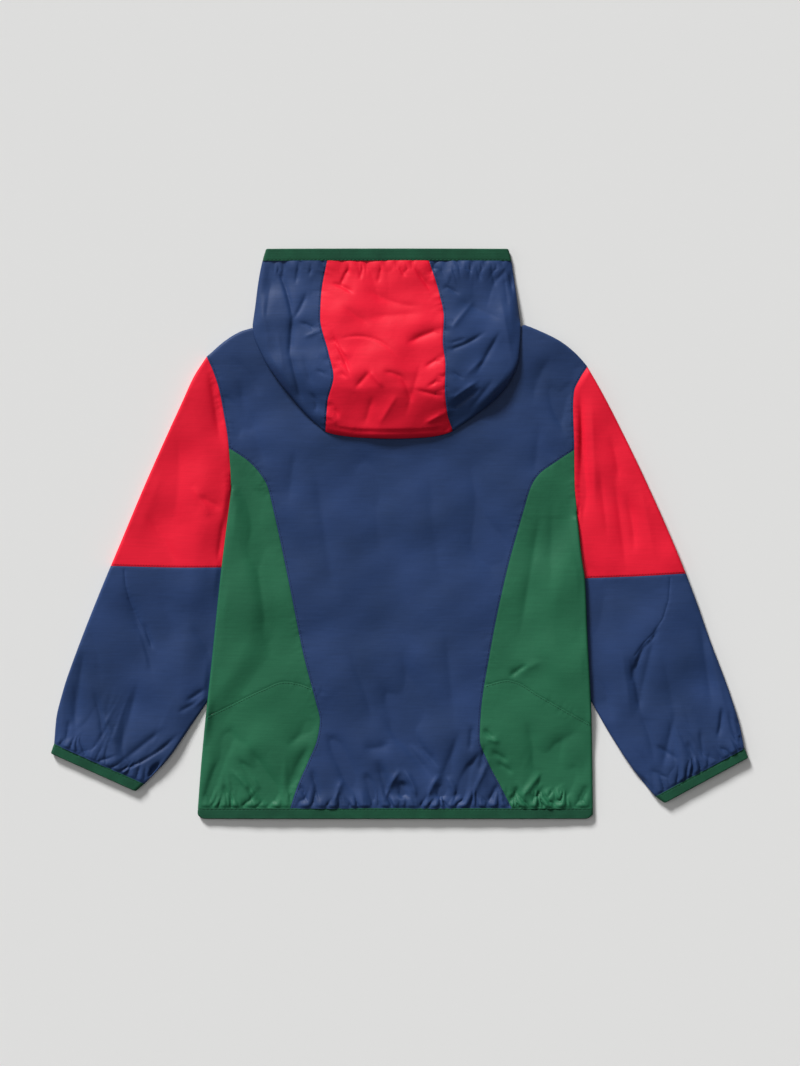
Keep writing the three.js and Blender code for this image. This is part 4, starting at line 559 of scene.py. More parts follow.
class BodyForm:
    """The flattened body: its folds, its seams and the heights of its two layers."""

    def __init__(self) -> None:
        """Draws the body's lines."""
        self.left_side, self.right_side = Track(LEFT_SIDE), Track(RIGHT_SIDE)
        self.left_armhole, self.right_armhole = Track(LEFT_ARMHOLE), Track(RIGHT_ARMHOLE)
        self.left_inner = Track([(row[3], row[2]) for row in LEFT_SLEEVE[2:]])
        self.right_inner = Track([(row[3], row[2]) for row in RIGHT_SLEEVE[2:]])
        left, right = Track(LEFT_SHOULDER), Track(RIGHT_SHOULDER)
        self.hem = np.column_stack([np.linspace(-215, 205, 192), np.full(192, HEM_SEAM_Y - TUCKED_IN)])
        self.side_folds = (
            along_y(self.left_side, -290, LEFT_UNDERARM_Y + 4),
            along_y(self.right_side, -290, RIGHT_UNDERARM_Y + 6),
        )
        self.shoulder_folds = (along_y(left, 168, 213), along_y(right, 160, 213))
        self.armholes = (along_y(self.left_armhole, 39, 186), along_y(self.right_armhole, 11, 177))
        self.back_seams = (
            along_y(Track(LEFT_BACK_SEAM), -280, 89),
            along_y(Track(RIGHT_BACK_SEAM), -280, 88),
        )
        self.across = (along_x(Track(LEFT_ACROSS), -206, -74), along_x(Track(RIGHT_ACROSS), 76, 202))
        self.back_neck = along_x(Track(BACK_NECK), -160, 132)
        self.front_neck = along_x(Track(FRONT_NECK), -160, 132)

    def hem_ends(self) -> tuple[float, float]:
        """The x of the body's two folds at the hem seam."""
        return float(self.left_side(HEM_SEAM_Y)), float(self.right_side(HEM_SEAM_Y))

    def edges(self, y: Array) -> tuple[Array, Array]:
        """The x of the cloth's left and right edge at y, past the armholes above the underarms."""
        left = np.where(y <= LEFT_UNDERARM_Y, self.left_side(y), self.left_armhole(y) - 9)
        right = np.where(y <= RIGHT_UNDERARM_Y, self.right_side(y), self.right_armhole(y) + 9)
        return left, right

    def under(self, x: Array, y: Array) -> Array:
        """The underside's height, which rises over the tucked sleeves."""
        left = 1 - smooth((x - self.left_inner(y) - 2) / TUCK_RAMP)
        right = 1 - smooth((self.right_inner(y) - 2 - x) / TUCK_RAMP)
        below_left = 1 - smooth((y - LEFT_UNDERARM_Y + 10) / 40)
        below_right = 1 - smooth((y - RIGHT_UNDERARM_Y + 10) / 40)
        return TUCK_LIFT * (left * below_left + right * below_right)

    def top(self, x: Array, y: Array) -> Array:
        """The back's height, with its gathers, creases and slow unevenness.

        Args:
            x: The points' x.
            y: The points' y.

        Returns:
            The height at each point.
        """
        left, right = self.edges(y)
        inside = np.minimum(x - left, right - x)
        fullness = mix(BODY_EDGE, BODY_MID, smooth(inside / 70))
        start, end = self.hem_ends()
        gather = sum(g.height(end - start, x - start, y - HEM_SEAM_Y) for g in (HEM_GATHERS, HEM_FOLDS))
        uneven_part = 1.6 * swell(x, y, 115, 3) + 0.35 * swell(x, y, 46, 8)
        calm = smooth((inside - 1) / 8)
        height = fullness + calm * (gather + uneven_part - 2.5 * drop_of(BODY_CREASES, x, y))
        near_slider = np.exp(-(((x - ZIP_X) / 34) ** 2) - ((y - SLIDER_Y) / 30) ** 2)
        return self.under(x, y) + np.maximum(BODY_LEAST - 0.6, height) + SLIDER_RISE * near_slider


class Side(Enum):
    """A side of the jacket as it is seen, with the direction away from the middle."""

    LEFT = -1
    RIGHT = 1

    @property
    def label(self) -> str:
        """The side's name in lower case."""
        return self.name.lower()

    def of(self, pair: Sequence) -> object:
        """This side's one of a pair."""
        return pair[0 if self is Side.LEFT else 1]


class SleeveForm:
    """A flattened sleeve: its folds, its seams and the height of its top layer."""

    def __init__(self, side: Side, body: BodyForm) -> None:
        """Draws the sleeve's lines beside the body.

        Args:
            side: The sleeve's side.
            body: The body that it is sewn to.
        """
        self.side, self.body = side, body
        rows = np.array(side.of((LEFT_SLEEVE, RIGHT_SLEEVE)), float)
        station = np.arange(len(rows))
        s = np.linspace(-1.0, len(rows) - 0.4, 500)
        tracks = [Track(list(zip(station, rows[:, k]))) for k in range(4)]
        self.outer = spaced(np.column_stack([tracks[0](s), tracks[1](s)]))
        self.inner = spaced(np.column_stack([tracks[2](s), tracks[3](s)]))
        self.cuff_start = rows[-1, :2]
        run = rows[-1, 2:] - rows[-1, :2]
        self.cuff_length = float(np.hypot(*run))
        self.along_cuff = run / self.cuff_length
        self.up = np.array([self.along_cuff[1], -self.along_cuff[0]]) * side.value
        self.armhole = side.of(body.armholes)
        seam = Track(side.of((LEFT_SLEEVE_SEAM, RIGHT_SLEEVE_SEAM)))
        self.seam = along_x(seam, *side.of(((-330, -120), (120, 330))))
        shares = np.linspace(-0.3, 1.3, 74)[:, None]
        self.cuff = self.cuff_start + shares * run - self.up * TUCKED_IN
        self.dart = spaced(np.array(side.of((LEFT_DART, RIGHT_DART)), float))
        self.underarm = side.of((LEFT_UNDERARM_Y, RIGHT_UNDERARM_Y))
        self.gathers = side.of((LEFT_CUFF_GATHERS, RIGHT_CUFF_GATHERS))
        self.creases = side.of((LEFT_SLEEVE_CREASES, RIGHT_SLEEVE_CREASES))

    def top(self, x: Array, y: Array) -> Array:
        """The top layer's height, lower where the sleeve is tucked under the body.

        Args:
            x: The points' x.
            y: The points' y.

        Returns:
            The height at each point.
        """
        armhole = self.side.of((self.body.left_armhole, self.body.right_armhole))
        fold = self.side.of((self.body.left_side, self.body.right_side))
        out = (x - np.where(y <= self.underarm, fold(y), armhole(y))) * self.side.value
        joined = smooth((y - self.underarm - 6) / 40)
        at_body = mix(TUCK_HEIGHT, self.body.top(armhole(y), y), joined)
        plain = mix(at_body, SLEEVE_HEIGHT, smooth(out / 30))
        from_x, from_y = x - self.cuff_start[0], y - self.cuff_start[1]
        distance = np.abs(from_x * self.up[0] + from_y * self.up[1])
        along = from_x * self.along_cuff[0] + from_y * self.along_cuff[1]
        gather = sum(g.height(self.cuff_length, along, distance) for g in (self.gathers, CUFF_FOLDS))
        uneven_part = 1.6 * swell(x, y, 95, 13) + 0.4 * swell(x, y, 38, 17)
        calm = smooth((out + 1) / 7)
        height = plain + calm * (gather + uneven_part - 1.6 * drop_of(self.creases, x, y))
        return np.maximum(TUCK_HEIGHT - 0.5, height)

    def under(self, x: Array, y: Array) -> Array:
        """The underside's height: it rests on the surface."""
        return np.zeros_like(x)


class HoodForm:
    """The folded-down hood: its outline, its seams and the heights of its layers."""

    def __init__(self, body: BodyForm) -> None:
        """Draws the hood's lines.

        Args:
            body: The body that the hood is sewn to.
        """
        self.body = body
        self.left = Track([(row[0], row[1]) for row in HOOD_ROWS])
        self.right = Track([(row[0], row[2]) for row in HOOD_ROWS])
        self.crest = Track(HOOD_CREST)
        self.seams = (along_y(Track(HOOD_LEFT_SEAM), 80, 280), along_y(Track(HOOD_RIGHT_SEAM), 80, 280))
        down_left = [(row[1], row[0]) for row in reversed(HOOD_ROWS)]
        points = np.array(down_left + [(row[2], row[0]) for row in HOOD_ROWS[1:]])
        steps = np.concatenate([[0], np.cumsum(np.hypot(*np.diff(points, axis=0).T))])
        tracks = [Track(list(zip(steps, points[:, k]))) for k in (0, 1)]
        s = np.linspace(0, steps[-1], 1200)
        outline = spaced(np.column_stack([tracks[0](s), tracks[1](s)]))
        half = len(body.back_neck) // 2
        for neck in (body.back_neck[:half], body.back_neck[half:]):
            place, _, point = crossing(outline, neck)
            outline = np.insert(outline, int(place) + 1, point, axis=0)
        self.outline = outline
        self.roll_line = spaced(np.array([[-70, 106.5], [-40, 103.5], [-9, 102.5], [22, 103.5], [52, 106.5]]))
        across = np.linspace(-150, 125, 126)
        self.binding_seam = np.column_stack([across, np.full(len(across), HOOD_SEAM_Y + TUCKED_IN)])

    def under(self, x: Array, y: Array) -> Array:
        """The under layer's height: on the back below the neck, and on the surface above it."""
        on_back = self.body.top(x, np.minimum(y, 200)) + HOOD_REST
        return on_back * (1 - smooth((y - HOOD_SPLIT_Y) / HOOD_SPLIT_REACH))

    def plain_top(self, x: Array, y: Array) -> Array:
        """The top layer's height without its folds."""
        left, right = self.left(y), self.right(y)
        half = np.maximum(30, (right - left) / 2)
        return self.crest(y) * (1 - 0.42 * np.minimum(1, np.abs(x - (left + right) / 2) / half) ** 2.2)

    def top(self, x: Array, y: Array) -> Array:
        """The top layer's height, with its gathers, creases and slow unevenness.

        Args:
            x: The points' x.
            y: The points' y.

        Returns:
            The height at each point.
        """
        inside = np.minimum(x - self.left(y), self.right(y) - x)
        start, end = float(self.left(HOOD_SEAM_Y)), float(self.right(HOOD_SEAM_Y))
        up = np.maximum(0, HOOD_SEAM_Y - y)
        gather = sum(g.height(end - start, x - start, up) for g in (HOOD_GATHERS, HOOD_FOLDS))
        uneven_part = 1.3 * swell(x, y, 75, 21) + 0.2 * swell(x, y, 33, 27)
        calm = smooth((inside - 1) / 9)
        return self.plain_top(x, y) + calm * (gather + uneven_part - 1.3 * drop_of(HOOD_CREASES, x, y, 0.9))

    def flap_under(self, x: Array, y: Array) -> Array:
        """The height of the part under the hood, which dives from the shoulders to the surface."""
        inside = np.minimum(x - self.left(y), self.right(y) - x)
        return self.under(x, y) * (1 - smooth((inside - 1) / 9))

    def face_edge(self, side: Side, out: float) -> Line:
        """The face opening's edge on the underside, from the chin up, moved out by a distance."""
        rows = []
        for y, share in FACE_EDGE:
            reach = (float(self.side_x(side, y)) - ZIP_X) * side.value
            rows.append((y, ZIP_X + side.value * max(reach * share, ZIP_GAP / 2)))
        line = along_y(Track(rows), FACE_EDGE[0][0], FACE_EDGE[-1][0])
        return beside(line, -side.value * out)

    def side_x(self, side: Side, y: Array) -> Array:
        """The outline's x at y on a side."""
        return (self.left if side is Side.LEFT else self.right)(y)


# Finishes


def linear(hex_colour: str) -> tuple[float, float, float, float]:
    """An sRGB hex colour as linear red, green, blue and alpha."""
    channels = [int(hex_colour[i : i + 2], 16) / 255 for i in (1, 3, 5)]
    return (*[c / 12.92 if c <= 0.04045 else ((c + 0.055) / 1.055) ** 2.4 for c in channels], 1.0)


def add_node(
    tree: Tree, kind: str, settings: dict | None = None, inputs: dict | None = None
) -> bpy.types.Node:
    """Adds a node with its settings and links.

    Args:
        tree: The tree that gets the node.
        kind: Blender's name of the node's type.
        settings: The node's attributes by name.
        inputs: A value, or a socket to link from, for each input by name or number.

    Returns:
        The node.
    """
    node = tree.nodes.new(kind)
    for name, value in (settings or {}).items():
        setattr(node, name, value)
    for name, value in (inputs or {}).items():
        if isinstance(value, Socket):
            tree.links.new(value, node.inputs[name])
        else:
            node.inputs[name].default_value = value
    return node


def new_material(name: str, **shader: object) -> tuple[bpy.types.Material, Tree, bpy.types.Node]:
    """Makes a material with one shader.

    Args:
        name: The material's name.
        shader: Values of the shader's own sockets, with _ for each space.

    Returns:
        The material, its tree and its shader.
    """
    material = bpy.data.materials.new(name)
    material.use_nodes = True
    tree = material.node_tree
    principled = tree.nodes["Principled BSDF"]
    for key, value in shader.items():
        principled.inputs[key.replace("_", " ")].default_value = value
    return material, tree, principled


WAVE_PER_METRE = 0.31416  # a wave texture's scale times its pitch in metres


def place_in(tree: Tree) -> Socket:
    """The place on the piece, in metres, that a pattern follows."""
    return add_node(tree, "ShaderNodeTexCoord").outputs["Object"]


def noise(tree: Tree, place: Socket, scale: float, detail: float, **more: float) -> Socket:
    """A cloudy pattern of 0 to 1, with so many clouds to the metre."""
    inputs = {"Vector": place, "Scale": scale, "Detail": detail, **more}
    return add_node(tree, "ShaderNodeTexNoise", inputs=inputs).outputs["Fac"]


def wave(tree: Tree, place: Socket, direction: str, pitch_mm: float, distortion: float = 0.0) -> Socket:
    """A pattern of even bands of 0 to 1, so many millimetres apart along a direction."""
    inputs = {"Vector": place, "Scale": WAVE_PER_METRE / (pitch_mm * MM), "Distortion": distortion}
    return add_node(tree, "ShaderNodeTexWave", {"bands_direction": direction}, inputs).outputs["Fac"]


def spread(tree: Tree, value: Socket, **limits: float) -> Socket:
    """A value spread from one range to another, each 0 to 1 where its limits aren't named."""
    inputs = {name.replace("_", " "): limit for name, limit in limits.items()}
    return add_node(tree, "ShaderNodeMapRange", inputs={"Value": value, **inputs}).outputs[0]


def in_two_shades(
    tree: Tree, shader: bpy.types.Node, share: Socket, dark: Sequence[float], light: Sequence[float]
) -> None:
    """Lets the shader's base colour run from a dark linear colour, where share is 0, to a light one."""
    colours = add_node(tree, "ShaderNodeMix", {"data_type": "RGBA"}, {"Factor": share, 6: dark, 7: light})
    tree.links.new(colours.outputs[2], shader.inputs["Base Color"])


def raised(tree: Tree, height: Socket, strength: float, distance: float, **more: Socket) -> Socket:
    """Relief too fine for the mesh, for a shader's Normal; distance is its depth in metres."""
    inputs = {"Height": height, "Strength": strength, "Distance": distance, **more}
    return add_node(tree, "ShaderNodeBump", inputs=inputs).outputs[0]


def darker(hex_colour: str, share: float) -> tuple[float, ...]:
    """A linear colour made darker."""
    return (*[share * c for c in linear(hex_colour)[:3]], 1.0)


@dataclass(frozen=True)
class WovenNylon:
    """Nylon taffeta, plain woven from bright filament, then calendered smooth: it shines softly."""

    name: str
    slot: str
    colour: str
    shade: str
    roughness: float = 0.52
    thread_mm: float = 0.55  # coarsened from 0.25, so that it shows from close by
    crinkle_mm: float = 7.0
    slub_mm: float = 1.1

    def material(self) -> bpy.types.Material:
        """Makes the cloth's material."""
        material, tree, shader = new_material(
            self.name,
            Roughness=self.roughness,
            IOR=1.53,
            Specular_IOR_Level=0.15,
            Sheen_Weight=0.04,
            Sheen_Roughness=0.4,
            Sheen_Tint=linear(self.colour),
        )
        place = place_in(tree)
        # Slow clouds, as calendered cloth is never dyed or pressed quite evenly
        cloud = noise(tree, place, 16.0, 2.0)
        # Filament yarns vary in thickness, which draws faint streaks along the weft
        scale = (40.0, 1 / (self.slub_mm * MM), 40.0)
        yarns = add_node(tree, "ShaderNodeMapping", inputs={"Vector": place, "Scale": scale}).outputs[0]
        terms = {0: noise(tree, yarns, 1.0, 1.0), 1: 0.5, 2: cloud}
        blend = add_node(tree, "ShaderNodeMath", {"operation": "MULTIPLY_ADD"}, terms).outputs[0]
        share = spread(tree, blend, From_Min=0.45, From_Max=1.05)
        in_two_shades(tree, shader, share, linear(self.shade), linear(self.colour))
        # Fine crinkles from packing, under the two crossed sets of threads
        crinkle = noise(tree, place, 1 / (self.crinkle_mm * MM), 3.0, Roughness=0.5)
        creased = raised(tree, crinkle, 0.16, 0.0012)
        threads = [wave(tree, place, direction, self.thread_mm, 0.4) for direction in ("X", "Y")]
        weave = add_node(tree, "ShaderNodeMath", {"operation": "ADD"}, dict(enumerate(threads)))
        woven = raised(tree, weave.outputs[0], 0.25, 0.00004, Normal=creased)
        tree.links.new(woven, shader.inputs["Normal"])
        return material


@dataclass(frozen=True)
class KnittedElastic:
    """Polyester and elastane edge binding, warp knitted and heat set: matt, with fine lengthwise ribs."""

    name: str
    slot: str
    colour: str
    shade: str
    stitch_mm: float = 1.0  # coarsened from 0.5

    def material(self) -> bpy.types.Material:
        """Makes the binding's material."""
        material, tree, shader = new_material(
            self.name,
            Roughness=0.8,
            Specular_IOR_Level=0.2,
            Sheen_Weight=0.06,
            Sheen_Roughness=0.5,
            Sheen_Tint=linear(self.colour),
        )
        place = place_in(tree)
        pattern = {"Vector": place, "Scale": 1 / (self.stitch_mm * MM), "Randomness": 0.7}
        loops = add_node(tree, "ShaderNodeTexVoronoi", inputs=pattern)
        # Painted shade: the colour darkens towards the gaps between the knitted loops, where the relief is
        # lowest, and also varies in small clouds of tone
        terms = {0: loops.outputs["Distance"], 1: -0.45, 2: noise(tree, place, 60.0, 3.0)}
        loop_gap_shade_and_tone = add_node(tree, "ShaderNodeMath", {"operation": "MULTIPLY_ADD"}, terms).outputs[0]
        share = spread(tree, loop_gap_shade_and_tone, From_Min=0.0, From_Max=0.6)
        in_two_shades(tree, shader, share, linear(self.shade), linear(self.colour))
        bump = add_node(
            tree,
            "ShaderNodeBump",
            {"invert": True},
            {"Height": loops.outputs["Distance"], "Strength": 0.5, "Distance": 0.0002},
        )
        tree.links.new(bump.outputs[0], shader.inputs["Normal"])
        return material


@dataclass(frozen=True)
class SpunThread:
    """Spun polyester sewing thread, twisted from plies, with painted highlight and painted shade in diagonal
    bands along each turn.
    """

    name: str
    colour: str
    twist_mm: float = 0.7

    def material(self) -> bpy.types.Material:
        """Makes the thread's material."""
        material, tree, shader = new_material(
            self.name, Roughness=0.7, Specular_IOR_Level=0.15, Sheen_Weight=0.02
        )
        # Painted highlight and shade: the colour runs lighter and darker in diagonal bands, one for each turn
        # of the plies
        ply_light_and_shade = wave(tree, place_in(tree), "DIAGONAL", self.twist_mm)
        in_two_shades(tree, shader, ply_light_and_shade, darker(self.colour, 0.7), linear(self.colour))
        return material


@dataclass(frozen=True)
class ZipNylon:
    """Nylon, as monofilament wound to a coil or as woven tape, dyed with the cloth: finely ribbed, with
    painted shade in the grooves between the ribs.
    """

    name: str
    slot: str
    colour: str
    roughness: float
    rib_mm: float

    def material(self) -> bpy.types.Material:
        """Makes the zip's material."""
        material, tree, shader = new_material(self.name, Roughness=self.roughness, IOR=1.53)
        ribs = wave(tree, place_in(tree), "Y", self.rib_mm, 0.5)
        # Painted shade: the colour is darker in the grooves between the ribs that the bump below raises
        in_two_shades(tree, shader, ribs, darker(self.colour, 0.65), linear(self.colour))
        tree.links.new(raised(tree, ribs, 0.3, 0.0001), shader.inputs["Normal"])
        return material


@dataclass(frozen=True)
class CastZinc:
    """Zinc alloy, die cast, tumbled and nickel plated: bright, with soft edges and faint tumbling marks."""

    name: str
    slot: str
    colour: str

    def material(self) -> bpy.types.Material:
        """Makes the metal."""
        material, tree, shader = new_material(self.name, Metallic=1.0, Base_Color=linear(self.colour))
        marks = noise(tree, place_in(tree), 900.0, 4.0)
        tree.links.new(spread(tree, marks, To_Min=0.24, To_Max=0.42), shader.inputs["Roughness"])
        tree.links.new(raised(tree, marks, 0.1, 0.0001), shader.inputs["Normal"])
        return material


NAVY = WovenNylon("navy_nylon_taffeta", "navy_nylon", "#273d69", "#1f3357")
RED = WovenNylon("red_nylon_taffeta", "red_nylon", "#e41633", "#d2102b")
GREEN = WovenNylon("green_nylon_taffeta", "green_nylon", "#266648", "#1e583e")
# The binding's darker colour is painted shade between its knitted loops as well as uneven tone
BINDING = KnittedElastic("green_knitted_elastic", "green_binding", "#1a5139", "#12402d")
NAVY_THREAD = SpunThread("navy_spun_thread", "#1a2548")
RED_THREAD = SpunThread("red_spun_thread", "#a81226")
DARK_GREEN_THREAD = SpunThread("dark_green_spun_thread", "#0f3d29")
TAPE = ZipNylon("navy_woven_zip_tape", "zip_tape", "#1b2748", 0.75, 0.9)
COIL = ZipNylon("navy_nylon_coil", "zip_coil", "#1b2748", 0.35, 1.2)
ZINC = CastZinc("plated_zinc_casting", "zip_metal", "#b4b7bb")


class Workshop:
    """Makes each material once and turns points and faces into pieces that ride on the frame."""

    def __init__(self) -> None:
        """Starts with no materials."""
        self.made: dict[str, bpy.types.Material] = {}

    def finish(self, finish: object) -> bpy.types.Material:
        """The material of a finish, made the first time that it is asked for."""
        if finish.name not in self.made:
            self.made[finish.name] = finish.material()
        return self.made[finish.name]

    def piece(
        self,
        name: str,
        points: Array,
        faces: Sequence[Sequence[int]],
        finish: object,
        body: str = JACKET_BODY,
        replaces: Sequence[str] = (),
    ) -> bpy.types.Object:
        """Makes a piece from points in millimetres.

        Args:
            name: The piece's name.
            points: Rows of x, y, z.
            faces: Rows of point numbers, facing out.
            finish: The piece's finish.
            body: The body that it rides on.
            replaces: The part's nodes that it stands for.

        Returns:
            The piece.
        """
        mesh = bpy.data.meshes.new(name)
        mesh.from_pydata((np.asarray(points) * MM).tolist(), [], [list(map(int, face)) for face in faces])
        mesh.validate()
        mesh.polygons.foreach_set("use_smooth", [True] * len(mesh.polygons))
        mesh.materials.append(self.finish(finish))
        piece = bpy.data.objects.new(name, mesh)
        bpy.context.scene.collection.objects.link(piece)
        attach(piece, body)
        if replaces:
            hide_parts(*replaces)
        hasattr(finish, "slot")
        LOG.info("%s: %d faces", name, len(mesh.polygons))
        return piece


# Cloth panels


class EdgeKind(Enum):
    """What happens to the cloth at a panel's edge."""

    FOLD = "runs round to the other layer"
    SEAM = "is sewn to its neighbour"


class Edge(NamedTuple):
    """One line of a layer's outline."""

    line: Line
    kind: EdgeKind


# Rows of points beside an edge, as shares of the rim, or in millimetres beside a seam
FOLD_ROWS = (0.04, 0.16, 0.36, 0.62, 0.95)
SEAM_ROWS = (0.55, 1.2, 2.1)
SEAM_INSET = 0.09


@dataclass
class Layer:
    """One layer of a panel: an outline whose neighbouring edges cross, and the heights it lies between."""

    edges: Sequence[Edge]
    facing: int
    top: Height
    under: Height
    folds: Sequence[Line] = ()
    rim: float = BODY_RIM
    seams: Sequence[Seam] = ()
    spacing: float = 2.0
    fine: Sequence[Line] = ()
    fine_spacing: float = 1.05
    fine_reach: float = 17.0
    marks: Sequence[Line] = ()

    def chains(self) -> list[Array]:
        """Each edge's own stretch between its neighbours, in order round the layer."""
        count = len(self.edges)
        crossings = [crossing(self.edges[i].line, self.edges[(i + 1) % count].line) for i in range(count)]
        chains = []
        for i, edge in enumerate(self.edges):
            start, end = crossings[i - 1][1], crossings[i][0]
            low, high = min(start, end), max(start, end)
            between = [k for k in range(len(edge.line)) if low + 0.3 < k < high - 0.3]
            points = edge.line[between] if start < end else edge.line[between][::-1]
            chains.append(np.vstack([crossings[i - 1][2], points, crossings[i][2]]))
        return chains

    def height(self, x: Array, y: Array) -> Array:
        """The layer's outer surface at points.

        Args:
            x: The points' x.
            y: The points' y.

        Returns:
            The height at each point.
        """
        high, low = self.top(x, y), self.under(x, y)
        swelling = np.ones_like(x)
        if self.folds:
            distance = np.min([nearest(line, x, y)[0] for line in self.folds], axis=0)
            distance = np.where(distance < 1e-4, 0, distance)
            swelling = np.sqrt(1 - (1 - np.minimum(1, distance / self.rim)) ** 2)
        half = (high - low) / 2 * swelling
        relief = sum((seam.relief(x, y) for seam in self.seams), np.zeros_like(x))
        return (high + low) / 2 + self.facing * (half + relief * swelling)

    def lattices(self, closed: Line, spacing: float, margin: float) -> list[Array]:
        """Spreads points evenly inside the layer, closer together near its gathers.

        Args:
            closed: The layer's closed outline.
            spacing: The distance between points away from the gathers.
            margin: How wide the rows of points beside the edges are.

        Returns:
            The points, a group for each spacing.
        """
        low, high = closed.min(0), closed.max(0)
        groups = []
        steps = [spacing] if not self.fine else [spacing, self.fine_spacing * spacing / self.spacing]
        for step in steps:
            ys = np.arange(low[1], high[1], step * math.sqrt(3) / 2)
            xs = np.arange(low[0], high[0], step)
            grid = np.array([(x + step / 2 * (i % 2), y) for i, y in enumerate(ys) for x in xs])
            if self.fine:
                near = np.min([nearest(line, grid[:, 0], grid[:, 1])[0] for line in self.fine], axis=0)
                is_coarse = step == spacing
                grid = grid[near > self.fine_reach + 0.6 * step if is_coarse else near <= self.fine_reach]
            groups.append(grid[nearest(closed, grid[:, 0], grid[:, 1])[0] > margin + 0.45 * step])
        return groups

    def mesh(self) -> tuple[Array, Array]:
        """Fills the outline with points and joins them.

        Returns:
            The points and the triangles, facing out.
        """
        chains = self.chains()
        outline = np.vstack([chain[:-1] for chain in chains])
        turn = np.sum(outline[:, 0] * np.roll(outline[:, 1], -1) - np.roll(outline[:, 0], -1) * outline[:, 1])
        inwards = 1 if turn > 0 else -1
        spacing = self.spacing * 1
        rows, last = [], []
        for edge, chain in zip(self.edges, chains):
            is_fold = edge.kind is EdgeKind.FOLD
            offsets = [share * self.rim for share in FOLD_ROWS] if is_fold else SEAM_ROWS
            thinned = chain if self.facing > 0 else chain[:: 3 if not is_fold else 2]
            if self.facing < 0 and not is_fold:
                offsets = SEAM_ROWS[1:2]
            if len(thinned) > 2:
                rows += [(beside(thinned, inwards * offset), offset) for offset in offsets]
            last.append(offsets[-1])
        closed = np.vstack([outline, outline[:1]])
        kept = []
        for row, offset in rows:
            distance = nearest(closed, row[:, 0], row[:, 1])[0]
            kept.append(row[distance > 0.86 * offset])
        lattice = self.lattices(closed, spacing, max(last))
        for mark in self.marks:
            lattice = [group[nearest(mark, group[:, 0], group[:, 1])[0] > 1.9] for group in lattice]
            rows = np.vstack([beside(spaced(mark, 1.4), offset) for offset in (-1.2, -0.45, 0, 0.45, 1.2)])
            inside = winding(closed, rows) & (nearest(closed, rows[:, 0], rows[:, 1])[0] > max(last) + 0.6)
            kept.append(rows[inside])
        kept += lattice
        inset = outline.copy()
        start = 0
        for edge, chain in zip(self.edges, chains):
            if edge.kind is EdgeKind.SEAM and len(chain) > 3:
                inset[start + 1 : start + len(chain) - 1] = beside(chain, inwards * SEAM_INSET)[1:-1]
            start += len(chain) - 1
        points = np.vstack([inset, *kept])
        ring_ids = list(range(len(outline)))
        found, _, triangles, *_ = delaunay_2d_cdt(
            [Vector(p) for p in points.tolist()], [], [ring_ids if inwards > 0 else ring_ids[::-1]], 1, 1e-5
        )
        flat, faces = np.array([tuple(p) for p in found]), np.array(triangles)
        used, numbers = np.unique(faces, return_inverse=True)
        flat, faces = flat[used], numbers.reshape(faces.shape)
        x, y = flat.T
        solid = np.column_stack([x, y, self.height(x, y)])
        return solid, faces if self.facing > 0 else faces[:, ::-1]


def welded(parts: Sequence[tuple[Array, Array]]) -> tuple[Array, Array]:
    """Joins meshes where their points coincide.

    Args:
        parts: The points and faces of each.

    Returns:
        The points and faces of the whole.
    """
    points = np.vstack([p for p, _ in parts])
    starts = np.cumsum([0, *[len(p) for p, _ in parts[:-1]]])
    faces = np.vstack([f + start for (_, f), start in zip(parts, starts)])
    _, first, number = np.unique(np.round(points, 2), axis=0, return_index=True, return_inverse=True)
    faces = number.reshape(-1)[faces]
    whole = (faces[:, 0] != faces[:, 1]) & (faces[:, 1] != faces[:, 2]) & (faces[:, 2] != faces[:, 0])
    return points[first], faces[whole]


CLOTH_THICKNESS = 0.6


def shelled(points: Array, faces: Array) -> tuple[Array, Array, Array]:
    """Gives a layer of cloth its thickness, inwards.

    Args:
        points: The outer surface's points.
        faces: The outer surface's triangles.

    Returns:
        The shell's points, its triangles, and the pairs of points along its cut edges, which are sharp.
    """
    corners = points[faces]
    turned = np.cross(corners[:, 1] - corners[:, 0], corners[:, 2] - corners[:, 0])
    normals = np.zeros_like(points)
    for k in range(3):
        np.add.at(normals, faces[:, k], turned)
    normals /= np.maximum(1e-9, np.linalg.norm(normals, axis=1))[:, None]
    count = len(points)
    runs = np.vstack([faces[:, [0, 1]], faces[:, [1, 2]], faces[:, [2, 0]]])
    keys = runs[:, 0] * count + runs[:, 1]
    cut = runs[~np.isin(keys, runs[:, 1] * count + runs[:, 0])]
    a, b = cut.T
    rim = np.vstack([np.column_stack([b, a, a + count]), np.column_stack([b, a + count, b + count])])
    shell = np.vstack([points, points - CLOTH_THICKNESS * normals])
    return shell, np.vstack([faces, faces[:, ::-1] + count, rim]), np.vstack([cut, cut + count])


@dataclass
class Panel:
    """One piece of cut cloth: its layers, its finish, and the size of its cut in millimetres."""

    name: str
    layers: Sequence[Layer]
    finish: WovenNylon
    flat: tuple[float, float]
    area: float
    rests_on: Sequence[str] = ()

    def build(self, shop: Workshop) -> bpy.types.Object:
        """Makes the panel as a thin closed shell of cloth, with its cut edges marked sharp.

        Args:
            shop: Where pieces are made.

        Returns:
            The panel's piece.
        """
        points, faces, cut = shelled(*welded([layer.mesh() for layer in self.layers]))
        piece = shop.piece(self.name + "_cloth", points, faces, self.finish, replaces=(self.name,))
        ends = np.empty(2 * len(piece.data.edges), int)
        piece.data.edges.foreach_get("vertices", ends)
        ends = np.sort(ends.reshape(-1, 2), axis=1)
        sharp = np.sort(cut, axis=1)
        count = len(points)
        is_sharp = np.isin(ends[:, 0] * count + ends[:, 1], sharp[:, 0] * count + sharp[:, 1])
        piece.data.edges.foreach_set("use_edge_sharp", is_sharp)
        return piece


def fold(line: Line) -> Edge:
    """An edge where the cloth runs round to the other layer."""
    return Edge(line, EdgeKind.FOLD)


def seam(line: Line) -> Edge:
    """An edge that is sewn to its neighbour."""
    return Edge(line, EdgeKind.SEAM)


